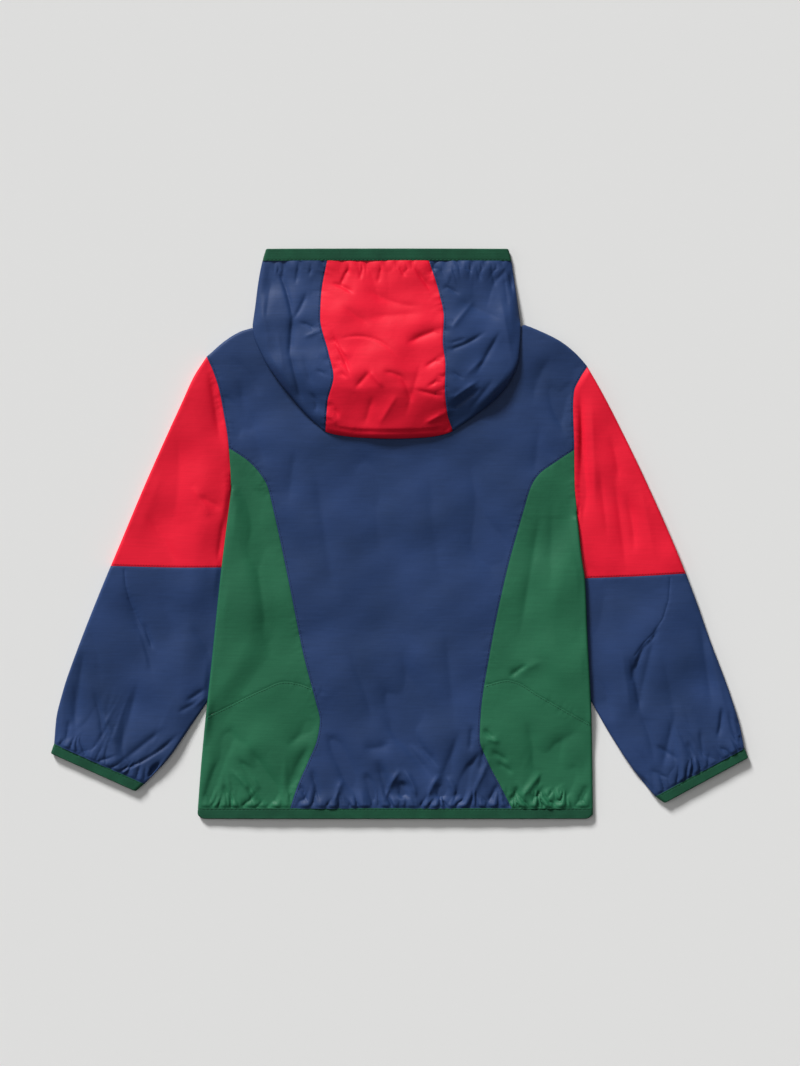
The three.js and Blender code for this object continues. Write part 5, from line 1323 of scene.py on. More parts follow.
def zip_edge(side: Side, low: float, high: float) -> Line:
    """The edge of the cloth beside the zip, from one y to another."""
    x = ZIP_X + side.value * ZIP_GAP / 2
    return spaced(np.array([[x, low], [x, high]]))


UNDER_SPACING = 7.5


@dataclass
class Body:
    """The back, the four side panels and the two fronts."""

    form: BodyForm
    pucker: float = 0.24

    def seams(self) -> list[Seam]:
        """Every seam of the body, for the cloth beside it."""
        form = self.form
        lines = [*form.back_seams, *form.across, *form.armholes]
        return [Seam(line, self.pucker, 8.5, 6, seed=i) for i, line in enumerate(lines)]

    def panels(self) -> list[Panel]:
        """The body's panels in the order in which they are sewn."""
        form, seams = self.form, self.seams()
        top = {"facing": 1, "top": form.top, "under": form.under, "fine": (form.hem,)}
        under = {"facing": -1, "top": form.top, "under": form.under, "spacing": UNDER_SPACING}
        shoulder_seams = [beside(side.of(form.shoulder_folds), side.value * SHOULDER_ROLL) for side in Side]
        zip_edges = [zip_edge(side, -290.0, 170.0) for side in Side]
        left_fold, right_fold = form.shoulder_folds
        back = [
            Layer(
                [
                    seam(form.hem), seam(form.back_seams[1]), seam(form.armholes[1]), fold(right_fold),
                    seam(form.back_neck), fold(left_fold), seam(form.armholes[0]), seam(form.back_seams[0]),
                ],
                folds=form.shoulder_folds,
                seams=seams,
                **top,
            )
        ]  # fmt: skip
        for side, fold_line, seam_line in zip(Side, form.shoulder_folds, shoulder_seams):
            neck = form.back_neck
            edges = [seam(side.of(form.armholes)), fold(fold_line), seam(neck), seam(seam_line)]
            back.append(Layer(edges, folds=(fold_line,), **under))
        panels = [Panel("back_panel", back, NAVY, (384, 492), 116000, ("front_left", "front_right"))]
        for side, fold_line, seam_line, zip_line in zip(Side, form.side_folds, shoulder_seams, zip_edges):
            armhole, back_seam = side.of(form.armholes), side.of(form.back_seams)
            across = side.of(form.across)
            upper = [seam(across), seam(back_seam), seam(armhole), fold(fold_line)]
            lower = [seam(form.hem), seam(back_seam), seam(across), fold(fold_line)]
            nearby = [s for s in seams if s.line is armhole or s.line is back_seam or s.line is across]
            for name, edges, flat, area in (
                ("side_upper", upper, side.of(((200, 260), (215, 265))), side.of((31800, 36300))),
                ("side_lower", lower, side.of(((230, 135), (225, 135))), side.of((24500, 23200))),
            ):
                layers = [
                    Layer(edges, folds=(fold_line,), seams=nearby, **top),
                    Layer(edges, folds=(fold_line,), **under),
                ]
                sleeve = f"sleeve_lower_{side.label}"
                panels.append(Panel(f"{name}_{side.label}", layers, GREEN, flat, area, (sleeve,)))
            lines = (form.hem, zip_line, form.front_neck, seam_line, armhole, back_seam)
            edges = [seam(line) for line in lines]
            front = Layer(edges, folds=(side.of(form.shoulder_folds),), **under)
            flat, area = side.of((((180, 475), 47200), ((190, 478), 53200)))
            panels.append(Panel(f"front_{side.label}", [front], NAVY, flat, area))
        return panels


@dataclass
class Sleeve:
    """One sleeve: its upper and lower panels, which go all round it."""

    form: SleeveForm

    def panels(self) -> list[Panel]:
        """The sleeve's two panels."""
        form, side = self.form, self.form.side
        folds = (form.outer, form.inner)
        seams = [
            Seam(form.armhole, 0.3, 8, 6, seed=4 + side.value),
            Seam(form.seam, 0.12, 8, 4, 0.45, 2 + side.value),
        ]
        top = {"facing": 1, "top": form.top, "under": form.under, "folds": folds, "rim": SLEEVE_RIM}
        under = {**top, "facing": -1, "spacing": UNDER_SPACING}
        seams.append(Seam(form.dart, 0.1, 7, 4, 0.45))
        top |= {"spacing": 1.7, "fine": (form.cuff,), "marks": (form.dart,)}
        upper = [seam(form.seam), fold(form.inner), seam(form.armhole), fold(form.outer)]
        lower = [seam(form.cuff), fold(form.inner), seam(form.seam), fold(form.outer)]
        return [
            Panel(
                f"{name}_{side.label}",
                [Layer(edges, seams=seams, **top), Layer(edges, **under)],
                finish,
                flat,
                area,
            )
            for name, edges, finish, flat, area in (
                ("sleeve_upper", upper, RED, side.of(((275, 215), (265, 215))), side.of((30800, 28200))),
                ("sleeve_lower", lower, NAVY, side.of(((275, 250), (270, 250))), side.of((59100, 55900))),
            )
        ]


@dataclass
class Hood:
    """The hood: a centre panel and two sides, each folded down over the back and round to the front neck."""

    form: HoodForm

    def panels(self) -> list[Panel]:
        """The hood's three panels."""
        form, body = self.form, self.form.body
        outline = form.outline
        middle = int(np.argmin(np.abs(outline[:, 0] - ZIP_X) + outline[:, 1]))
        halves = (outline[: middle + 1], outline[middle:])
        seams = [Seam(line, 0.4, 9.5, 7, 0.4, i) for i, line in enumerate(form.seams)]
        seams.append(Seam(form.roll_line, 0.1, 9, 4, 0.8))
        both = {"top": form.top, "under": form.under, "folds": (outline,), "rim": HOOD_RIM}
        rest = {**both, "facing": -1, "spacing": UNDER_SPACING}
        top = {**both, "facing": 1, "spacing": 1.5, "seams": seams, "marks": (form.roll_line,)}
        top |= {"fine": (form.binding_seam,), "fine_reach": 12.0}
        flap = {**rest, "under": form.flap_under}
        left_seam, right_seam = form.seams
        centre = [
            Layer([fold(outline), seam(right_seam), seam(form.binding_seam), seam(left_seam)], **top),
            Layer([fold(outline), seam(right_seam), seam(body.back_neck), seam(left_seam)], **rest),
        ]
        panels = [Panel("hood_center", centre, RED, (135, 295), 32200, ("back_panel",))]
        for side, half, line in zip(Side, halves, form.seams):
            zip_line = zip_edge(side, 120.0, 190.0)
            face = form.face_edge(side, FACE_BINDING_WIDTH + SEAM_GAP / 2)
            face = spaced(np.vstack([[ZIP_X, face[0, 1]], face]))
            layers = [
                Layer([fold(half), seam(line), seam(form.binding_seam)], **top),
                Layer([fold(half), seam(line), seam(body.back_neck)], **rest),
                Layer(
                    [fold(half), seam(form.binding_seam), seam(face), seam(zip_line), seam(body.front_neck)],
                    **flap,
                ),
            ]
            flat, area = side.of((((150, 300), 20500), ((155, 300), 22500)))
            panels.append(Panel(f"hood_side_{side.label}", layers, NAVY, flat, area, ("back_panel",)))
        return panels


# Bindings and stitches


def joined(parts: Sequence[tuple[Array, Sequence]]) -> Mesh:
    """Puts meshes together as they are, in one numbering."""
    starts = np.cumsum([0, *[len(points) for points, _ in parts]])
    faces = [[i + start for i in face] for (_, own), start in zip(parts, starts) for face in own]
    return np.vstack([points for points, _ in parts]), faces


def tube_faces(
    rings: int, size: int, closed: bool = False, capped: bool = False, base: int = 0
) -> list[list[int]]:
    """The faces of a tube whose points are numbered ring by ring.

    Args:
        rings: How many rings it has.
        size: How many points a ring has.
        closed: Whether the last ring joins the first.
        capped: Whether both ends are closed by a face.
        base: The first point's number.

    Returns:
        The faces.
    """
    faces = []
    for i in range(rings if closed else rings - 1):
        a, b = base + i * size, base + (i + 1) % rings * size
        faces += [[a + k, a + (k + 1) % size, b + (k + 1) % size, b + k] for k in range(size)]
    if capped:
        last = base + (rings - 1) * size
        faces += [[base + k for k in range(size)][::-1], [last + k for k in range(size)]]
    return faces


def facing_out(points: Array, faces: list[list[int]]) -> list[list[int]]:
    """The same faces of a closed mesh, turned to face out if they faced in."""
    volume = 0.0
    for face in faces:
        fan = points[[face[0]] * (len(face) - 2)], points[face[1:-1]], points[face[2:]]
        volume += float(np.einsum("ij,ij->", fan[0], np.cross(fan[1], fan[2])))
    return faces if volume > 0 else [face[::-1] for face in faces]


def swept(
    path: Array, across: Array, out: Array, profile: Array, closed: bool, scallop: float = 0.0
) -> Mesh:
    """Sweeps a section along a path.

    Args:
        path: The path's points, rows of x, y, z.
        across: The direction of the section's first axis at each point.
        out: The direction of the section's second axis at each point.
        profile: The section's points, rows of across, out, round a closed loop.
        closed: Whether the path ends where it starts.
        scallop: How far the section's side at 0 is drawn in between stitches.

    Returns:
        The points and the faces.
    """
    rings = path[:, None] + profile[None, :, :1] * across[:, None] + profile[None, :, 1:] * out[:, None]
    if scallop:
        number = np.arange(len(path))
        drawn = scallop * (0.5 + 0.5 * np.sin(2.4 * number)) * (0.6 + 0.4 * np.sin(0.37 * number))
        near = np.clip(1 - profile[:, 0] / 1.4, 0, 1)
        rings = rings + (drawn[:, None] * near[None])[..., None] * across[:, None]
    return closed_sweep(rings, closed)


def closed_sweep(rings: Array, closed: bool) -> Mesh:
    """Joins the rings of points of a sweep, and caps its ends unless it is closed."""
    points = rings.reshape(-1, 3)
    return points, facing_out(points, tube_faces(*rings.shape[:2], closed, capped=not closed))


@dataclass(frozen=True)
class BindingSection:
    """A ribbed elastic band folded over the edge of the cloth: stitched side at 0, fold at width."""

    width: float
    wall: float = BINDING_WALL
    ribs: int = 7
    rib_height: float = 0.11
    stitch_at: float = 1.3

    def profile(self) -> Array:
        """The section's points: round the outside of both leaves, and back between them."""
        half, slit = self.wall / 2, 0.06
        v = np.linspace(0.35, self.width - 1.3, 30)
        ribs = 2 * math.pi * self.ribs * (v - v[0]) / (v[-1] - v[0])
        ribbed = half - self.rib_height * (0.5 - 0.5 * np.cos(ribs))
        ribbed = ribbed - 0.3 * np.exp(-(((v - self.stitch_at) / 0.5) ** 2))
        outer = np.column_stack([v, ribbed])
        turn = np.linspace(math.pi / 2, -math.pi / 2, 9)[1:-1]
        rounded = np.column_stack([self.width - 1.3 + 1.3 * np.cos(turn), half * np.sin(turn)])
        inner = np.column_stack([np.linspace(self.width - 1.3, 0.35, 5), np.full(5, -half)])
        lower_end = np.array([[0.0, -0.7 * half], [0.0, -0.3 * half], [0.3, -slit]])
        between = np.column_stack([np.linspace(1.0, self.width - 1.2, 4), np.full(4, -slit)])
        back = between[::-1] * [1, -1]
        upper_end = lower_end[::-1] * [1, -1]
        return np.vstack([outer, rounded, inner, lower_end, between, back, upper_end])


def ring_path(left: float, right: float, high: Callable[[Array], Array], wall: float) -> Array:
    """The middle line of a flattened ring of a given wall, as rows of x, z, from the middle of its underside.

    Args:
        left: The ring's left outside.
        right: The ring's right outside.
        high: The height of the ring's top outside at x.
        wall: The ring's wall.

    Returns:
        The points, anticlockwise as seen with x to the right and z up.
    """
    low = wall / 2

    def end(x_out: float, sign: int) -> Array:
        """The ring's rounded end at an outside x."""
        radius = (float(high(np.array([x_out + sign * -3.0]))[0]) - wall / 2 - low) / 2
        centre = np.array([x_out - sign * (wall / 2 + radius), low + radius])
        turn = np.linspace(-math.pi / 2, math.pi / 2, 9)
        arc = centre + radius * np.column_stack([sign * np.cos(turn), np.sin(turn)])
        return arc if sign > 0 else arc[::-1]

    right_end, left_end = end(right, 1), end(left, -1)
    step = 2.4
    top_x = np.arange(right_end[-1, 0] - 1, left_end[0, 0] + 0.5, -step)
    top = np.column_stack([top_x, high(top_x) - wall / 2])
    bottom_x = np.arange(left_end[-1, 0] + 1, right_end[0, 0] - 0.5, step)
    middle = len(bottom_x) // 2
    bottom = np.column_stack([bottom_x, np.full(len(bottom_x), low)])
    return np.vstack([bottom[middle:], right_end, top, left_end, bottom[:middle]])


def outwards_of(path: Array, closed: bool) -> Array:
    """The outward directions of an anticlockwise path in a plane, as rows of two."""
    ends = np.vstack([path[-1:], path, path[:1]]) if closed else path
    run = np.gradient(ends, axis=0)
    run = run[1:-1] if closed else run
    run /= np.hypot(*run.T)[:, None]
    return np.column_stack([run[:, 1], -run[:, 0]])


def hem_height(x: Array, left: float, right: float) -> Array:
    """The height of the hem binding's top between its two folds.

    Args:
        x: The points' x.
        left: The left fold's x.
        right: The right fold's x.

    Returns:
        The height at each point.
    """
    inside = np.minimum(x - left, right - x)
    ripple = 0.16 * np.sin(x / 5.1 + 1.4 * np.sin(x / 23)) * smooth(inside / 12)
    return BINDING_PROUD + mix(BODY_EDGE, BODY_MID, smooth(inside / 70)) + ripple


@dataclass
class Bindings:
    """The four elastic edge bindings: hem, both cuffs, and the hood's face opening."""

    body: BodyForm
    sleeves: Sequence[SleeveForm]
    hood: HoodForm
    scallop: float = 0.35

    def band(self, path: Array, y: float, direction: float, section: BindingSection) -> Mesh:
        """Sweeps a folded band along an open path round the jacket.

        Args:
            path: The path's points, rows of x, z.
            y: Where the band's stitched side lies.
            direction: 1 where its fold is towards +Y, -1 where it is towards -Y.
            section: The band's section.

        Returns:
            The points and the faces.
        """
        outwards = outwards_of(path, closed=False)
        count = len(path)
        spine = np.column_stack([path[:, 0], np.full(count, y), path[:, 1]])
        across = np.tile([0.0, direction, 0.0], (count, 1))
        out = np.column_stack([outwards[:, 0], np.zeros(count), outwards[:, 1]])
        return swept(spine, across, out, section.profile(), closed=False, scallop=self.scallop)

    def hem(self, shop: Workshop) -> bpy.types.Object:
        """The hem's binding, open at the zip.

        Args:
            shop: Where pieces are made.

        Returns:
            The piece.
        """
        section = BindingSection(HEM_SEAM_Y - SEAM_GAP / 2 - HEM_EDGE_Y)
        middle_y = (HEM_SEAM_Y + HEM_EDGE_Y) / 2
        left, right = float(self.body.left_side(middle_y)), float(self.body.right_side(middle_y))
        path = ring_path(left, right, lambda x: hem_height(x, left, right), BINDING_WALL)
        under = path[:, 1] < BINDING_WALL / 2 + 0.01
        in_slot = under & (np.abs(path[:, 0] - ZIP_X) < ZIP_GAP / 2)
        start = int(np.argmax(under & (path[:, 0] > ZIP_X + ZIP_GAP / 2)))
        path = np.roll(path, -start, axis=0)[~np.roll(in_slot, -start)]
        points, faces = self.band(path, HEM_SEAM_Y - SEAM_GAP / 2, -1.0, section)
        share = (points[:, 0] - left) / (right - left)
        rounding = 6.0 * np.clip((HEM_SEAM_Y - points[:, 1] - 4.5) / 6.5, 0, 1) ** 2.5
        low_x = self.body.left_side(points[:, 1]) + rounding
        high_x = self.body.right_side(points[:, 1]) - rounding
        points[:, 0] = mix(low_x, high_x, share)
        piece = shop.piece("hem_binding_elastic", points, faces, BINDING, replaces=("hem_binding",))
        return piece

    def cuff(self, form: SleeveForm, shop: Workshop) -> bpy.types.Object:
        """A cuff's binding, all round the sleeve's end.

        Args:
            form: The sleeve.
            shop: Where pieces are made.

        Returns:
            The piece.
        """
        section = BindingSection(CUFF_WIDTH - SEAM_GAP / 2)

        def high(u: Array) -> Array:
            """The binding's height along the cuff."""
            inside = np.minimum(u, form.cuff_length - u)
            return SLEEVE_HEIGHT + BINDING_PROUD + 0.12 * np.sin(u / 4.3) * smooth(inside / 12)

        path = ring_path(0, form.cuff_length, high, BINDING_WALL)
        outwards = outwards_of(path, closed=True)
        profile = section.profile()
        rings = path[:, None, 0] + profile[None, :, 1] * outwards[:, None, 0]
        rise = path[:, None, 1] + profile[None, :, 1] * outwards[:, None, 1]
        down = np.broadcast_to(profile[None, :, 0], rings.shape) + SEAM_GAP / 2
        share = rings / form.cuff_length
        along = mix(0.1 * down, form.cuff_length - 0.5 * down, share)
        flat = form.cuff_start + along[..., None] * form.along_cuff - down[..., None] * form.up
        points, faces = closed_sweep(np.concatenate([flat, rise[..., None]], axis=2), closed=True)
        name = f"cuff_binding_{form.side.label}"
        piece = shop.piece(name + "_elastic", points, faces, BINDING, replaces=(name,))
        return piece

    def hood_edge(self, shop: Workshop) -> bpy.types.Object:
        """The binding of the hood's face opening: over the top, round both corners and down to the zip.

        Args:
            shop: Where pieces are made.

        Returns:
            The piece.
        """
        section = BindingSection(HOOD_EDGE_Y - HOOD_SEAM_Y - SEAM_GAP / 2)
        middle_y = (HOOD_SEAM_Y + HOOD_EDGE_Y) / 2
        left, right = float(self.hood.left(middle_y)), float(self.hood.right(middle_y))

        def high(x: Array) -> Array:
            """The binding's height at x."""
            inside = np.minimum(x - left, right - x)
            ripple = 0.14 * np.sin(x / 4.7) * smooth(inside / 12)
            return self.hood.plain_top(x, np.full_like(x, HOOD_SEAM_Y)) + BINDING_PROUD + ripple

        path = ring_path(left, right, high, BINDING_WALL)
        under = path[:, 1] < BINDING_WALL / 2 + 0.01
        inner = [self.hood.face_edge(side, 0)[-1, 0] for side in Side]
        cut = under & (path[:, 0] > inner[0]) & (path[:, 0] < inner[1])
        start = int(np.argmax(under & (path[:, 0] >= inner[1])))
        path = np.roll(path, -start, axis=0)[~np.roll(cut, -start)]
        points, faces = self.band(path, HOOD_SEAM_Y + SEAM_GAP / 2, 1.0, section)
        share = (points[:, 0] - left) / (right - left)
        points[:, 0] = mix(self.hood.left(points[:, 1]), self.hood.right(points[:, 1]), share)
        parts = [(points, faces)]
        strip = BindingSection(FACE_BINDING_WIDTH)
        for side in Side:
            edge = self.hood.face_edge(side, FACE_BINDING_WIDTH)
            edge = edge[(edge[:, 1] < HOOD_SEAM_Y) & ((edge[:, 0] - ZIP_X) * side.value > ZIP_GAP / 2)]
            run = np.gradient(edge, axis=0)
            run /= np.hypot(*run.T)[:, None]
            inwards = np.column_stack([-run[:, 1], run[:, 0], np.zeros(len(edge))]) * side.value
            spine = np.column_stack([edge, np.full(len(edge), BINDING_WALL / 2)])
            down = np.tile([0.0, 0.0, -1.0], (len(edge), 1))
            parts.append(swept(spine, inwards, down, strip.profile(), closed=False))
        piece = shop.piece("hood_binding_elastic", *joined(parts), BINDING, replaces=("hood_binding",))
        return piece

    def build(self, shop: Workshop) -> None:
        """Makes all four."""
        self.hem(shop)
        for form in self.sleeves:
            self.cuff(form, shop)
        self.hood_edge(shop)


@dataclass(frozen=True)
class StitchRow:
    """A row of lockstitches along a line, lying on a surface."""

    line: Line
    surface: Height
    length: float = 1.9
    pitch: float = 2.8
    width: float = 0.5
    slant: float = 0.0

    def mesh(self) -> tuple[Array, Array]:
        """Makes each stitch as a short rounded bar sunk a little into the cloth.

        Returns:
            The points and the faces.
        """
        places = spaced(self.line, self.pitch)
        run = np.gradient(places, axis=0)
        run /= np.hypot(*run.T)[:, None]
        side = np.column_stack([-run[:, 1], run[:, 0]])
        shape = [(-0.5, 0.4), (-0.3, 1.0), (0.3, 1.0), (0.5, 0.4)]
        turn = np.linspace(0, 2 * math.pi, 6, endpoint=False)
        rings = []
        for share, fullness in shape:
            middle = places + share * self.length * (run + self.slant * side)
            height = self.surface(middle[:, 0], middle[:, 1])
            for angle in turn:
                flat = middle + math.cos(angle) * self.width / 2 * fullness * side
                lift = height + 0.03 + math.sin(angle) * self.width * 0.36 * fullness
                rings.append(np.column_stack([flat, lift]))
        points = np.stack(rings, axis=1)
        size = len(turn)
        one = tube_faces(len(shape), size)
        one += [[0, 5, 4, 3], [0, 3, 2, 1], [18, 19, 20, 21], [18, 21, 22, 23]]
        starts = np.arange(len(places))[:, None, None] * size * len(shape)
        return points.reshape(-1, 3), (np.array(one)[None] + starts).reshape(-1, 4)


def on_layer(layer: Layer, line: Line, out: float) -> StitchRow:
    """A row of stitches on a layer, beside one of its seams.

    Args:
        layer: The layer that is stitched.
        line: The seam.
        out: How far to the seam's left the row lies.

    Returns:
        The row, without the stitches that would lie outside the layer.
    """
    moved = spaced(beside(line, out), 2.7)
    outline = np.vstack([chain[:-1] for chain in layer.chains()])
    closed = np.vstack([outline, outline[:1]])
    clear = nearest(closed, moved[:, 0], moved[:, 1])[0] > 0.6 * abs(out)
    return StitchRow(moved[winding(closed, moved) & clear], layer.height)


@dataclass
class Stitching:
    """The rows of stitches that show beside the seams and on the bindings."""

    panels: dict[str, Panel]
    body: BodyForm
    sleeves: Sequence[SleeveForm]
    hood: HoodForm
    beside_seam: float = 1.7

    def build(self, shop: Workshop) -> None:
        """Makes the rows, one piece for each thread.

        Args:
            shop: Where pieces are made.
        """
        body, hood = self.body, self.hood
        left_sleeve, right_sleeve = self.sleeves
        green = [("side_lower_left", body.across[0], -1), ("side_lower_right", body.across[1], -1)]
        navy = [
            ("back_panel", body.back_seams[0], -1),
            ("back_panel", body.back_seams[1], 1),
            ("back_panel", body.armholes[0], -1),
            ("back_panel", body.armholes[1], 1),
            ("hood_side_left", hood.seams[0], 1),
            ("hood_side_right", hood.seams[1], -1),
        ]
        red = [("sleeve_upper_left", left_sleeve.seam, 1), ("sleeve_upper_right", right_sleeve.seam, 1)]
        for name, finish, rows in (
            ("stitches_green", DARK_GREEN_THREAD, green),
            ("stitches_navy", NAVY_THREAD, navy),
            ("stitches_red", RED_THREAD, red),
        ):
            found = [
                on_layer(self.panels[panel].layers[0], line, sign * self.beside_seam)
                for panel, line, sign in rows
            ]
            self.one(name, finish, found, shop)
        self.one("stitches_bindings", DARK_GREEN_THREAD, self.binding_rows(), shop)

    def binding_rows(self) -> list[StitchRow]:
        """One row on each binding, near the cloth."""
        away = BindingSection(1.0).stitch_at + SEAM_GAP / 2
        x = np.linspace(-196, 188, 200)
        hem = np.column_stack([x, np.full(200, HEM_SEAM_Y - away)])

        def hem_top(px: Array, _y: Array) -> Array:
            """Just under the hem binding's top."""
            return hem_height(px, *self.body.hem_ends()) - 0.25

        rows = [StitchRow(hem, hem_top, 2.4, 4.0, 0.75, 0.45)]
        x = np.linspace(-132, 106, 140)
        edge = np.column_stack([x, np.full(140, HOOD_SEAM_Y + away)])

        def hood_top(px: Array, _y: Array) -> Array:
            """Just under the hood binding's top."""
            ripple = 0.14 * np.sin(px / 4.7)
            return self.hood.plain_top(px, np.full_like(px, HOOD_SEAM_Y)) + BINDING_PROUD + ripple - 0.25

        rows.append(StitchRow(edge, hood_top, 2.4, 4.0, 0.75, 0.45))

        def cuff_top(px: Array, _y: Array) -> Array:
            """Just under the cuff binding's top."""
            return np.full_like(px, SLEEVE_HEIGHT + BINDING_PROUD - 0.22)

        for form in self.sleeves:
            along = np.linspace(3, form.cuff_length - 4, 60)[:, None]
            line = form.cuff_start + along * form.along_cuff - away * form.up
            rows.append(StitchRow(line, cuff_top, 2.2, 3.8, 0.6, 0.4))
        return rows

    def one(self, name: str, finish: SpunThread, rows: Sequence[StitchRow], shop: Workshop) -> None:
        """Joins rows of one thread into a piece."""
        shop.piece(name, *joined([row.mesh() for row in rows]), finish)


# The zip


@dataclass
class Zip:
    """The front zip, which lies under the jacket: two tapes, the coil, the slider and its pull tab."""

    chain_width: float = 4.4
    chain_low: float = 0.45
    chain_high: float = 2.45
    tape_width: float = 10.5
    tape_thick: float = 0.6
    pitch: float = 2.0
    slider_length: float = 10.0
    slider_width: float = 8.0
    plate: float = 0.7
    pull_length: float = 22.0
    pull_width: float = 5.0
    pull_thick: float = 1.0
    pin_z: float = 0.95
    pin_radius: float = 0.42

    def lift(self, y: Array) -> Array:
        """How far the zip is held up at y."""
        return SLIDER_LIFT * smooth((y - (SLIDER_Y - 52)) / 26)

    def tape(self, side: Side, shop: Workshop) -> bpy.types.Object:
        """One tape, with the woven edge that the coil is sewn to.

        Args:
            side: The tape's side of the zip.
            shop: Where pieces are made.

        Returns:
            The piece.
        """
        y = np.linspace(HEM_SEAM_Y + SEAM_GAP / 2, ZIP_TOP_Y, 216)
        inner = self.chain_width / 2 + SEAM_GAP
        v = np.linspace(0, self.tape_width, 12)
        beads = 0.3 * np.exp(-(((v - 0.9) / 0.7) ** 2)) + 0.15 * np.exp(-(((v - 9.8) / 0.5) ** 2))
        thick = self.tape_thick + beads
        profile = np.vstack([np.column_stack([v, np.zeros(12)]), np.column_stack([v[::-1], -thick[::-1]])])
        count = len(y)
        x = np.full(count, ZIP_X + side.value * inner)
        spine = np.column_stack([x, y, self.chain_high + self.lift(y)])
        across = np.tile([float(side.value), 0, 0], (count, 1))
        up = np.tile([0.0, 0.0, 1.0], (count, 1))
        points, faces = swept(spine, across, up, profile, closed=False)
        name = f"zip_tape_{side.label}"
        piece = shop.piece(name + "_woven", points, faces, TAPE, replaces=(name,))
        return piece

    def coil(self, shop: Workshop) -> bpy.types.Object:
        """The coil's turns, which interlock along the middle.

        Args:
            shop: Where pieces are made.

        Returns:
            The piece.
        """
        top = SLIDER_Y + self.slider_length / 2 - 3.2
        ys = np.arange(HEM_EDGE_Y + 1.6, top, self.pitch)
        turn = np.linspace(0, 2 * math.pi, 8, endpoint=False)
        half = (self.chain_high - self.chain_low) / 2
        points, faces = [], []
        for number, y in enumerate(ys):
            sign = 1 if number % 2 else -1
            middle_z = (self.chain_low + self.chain_high) / 2 + float(self.lift(np.array(y)))
            for x, fullness in ((-0.85, 0.55), (-0.55, 1.0), (1.7, 0.9), (2.15, 0.5)):
                for angle in turn:
                    height = middle_z + half * fullness * math.sin(angle)
                    points.append((ZIP_X + sign * x, y + 0.92 * fullness * math.cos(angle), height))
            own = tube_faces(4, len(turn), capped=True, base=number * 4 * len(turn))
            faces += own if sign > 0 else [face[::-1] for face in own]
        return shop.piece("zip_coil_turns", np.array(points), faces, COIL, replaces=("zip_chain",))

    def plate_mesh(self, outline: Array, low: float, high: float, bevel: float) -> Mesh:
        """A flat plate with softened edges.

        Args:
            outline: The plate's outline, anticlockwise.
            low: Its lowest height.
            high: Its highest height.
            bevel: How far its edges are taken in.

        Returns:
            The points and the faces.
        """
        middle = outline.mean(0)
        size = np.abs(outline - middle).max(0)
        inset = middle + (outline - middle) * (1 - bevel / size)
        rows = [(inset, low), (outline, low + bevel), (outline, high - bevel), (inset, high)]
        points = np.vstack([np.column_stack([row, np.full(len(row), z)]) for row, z in rows])
        return points, tube_faces(4, len(outline), capped=True)

    def rounded(self, width: float, length: float, end_width: float, corner: float) -> Array:
        """A rounded outline round the origin, which may taper towards -Y.

        Args:
            width: Its width at +Y.
            length: Its length along Y.
            end_width: Its width at -Y.
            corner: The radius of its corners.

        Returns:
            Its points, anticlockwise.
        """
        points = []
        for cx, cy, start in ((1, 1, 0), (-1, 1, 90), (-1, -1, 180), (1, -1, 270)):
            half = (width if cy > 0 else end_width) / 2 - corner
            for angle in np.radians(np.linspace(start, start + 90, 6)):
                y = cy * (length / 2 - corner) + corner * math.sin(angle)
                points.append((cx * half + corner * math.cos(angle), y))
        return np.array(points)

    def slider(self, shop: Workshop) -> bpy.types.Object:
        """The slider: two shield-shaped plates, the post between them and the bridge on the front.

        Args:
            shop: Where pieces are made.

        Returns:
            The piece.
        """
        low, high = self.chain_low + SLIDER_LIFT, self.chain_high + SLIDER_LIFT
        gap = 0.2
        middle = np.array([ZIP_X, SLIDER_Y])
        shield = self.rounded(self.slider_width, self.slider_length, 6.4, 1.6) + middle
        post = self.rounded(1.6, 2.4, 1.2, 0.4) + middle + [0, self.slider_length / 2 - 1.5]
        bar = self.rounded(1.6, self.slider_length - 2, 1.6, 0.5) + middle
        parts = [
            self.plate_mesh(shield, low - gap - self.plate, low - gap, 0.18),
            self.plate_mesh(shield, high + gap, high + gap + self.plate, 0.18),
            self.plate_mesh(post, low - gap - 0.3, high + gap + 0.3, 0.1),
            self.plate_mesh(bar, 0.05, 0.45, 0.1),
        ]
        for sign in (-1, 1):
            foot = self.rounded(1.6, 1.1, 1.6, 0.3) + middle + [0, sign * (self.slider_length / 2 - 1.5)]
            parts.append(self.plate_mesh(foot, 0.1, low - gap - 0.2, 0.08))
        piece = shop.piece("zip_slider_casting", *joined(parts), ZINC, replaces=("zip_slider",))
        piece.data.polygons.foreach_set("use_smooth", [False] * len(piece.data.polygons))
        return piece

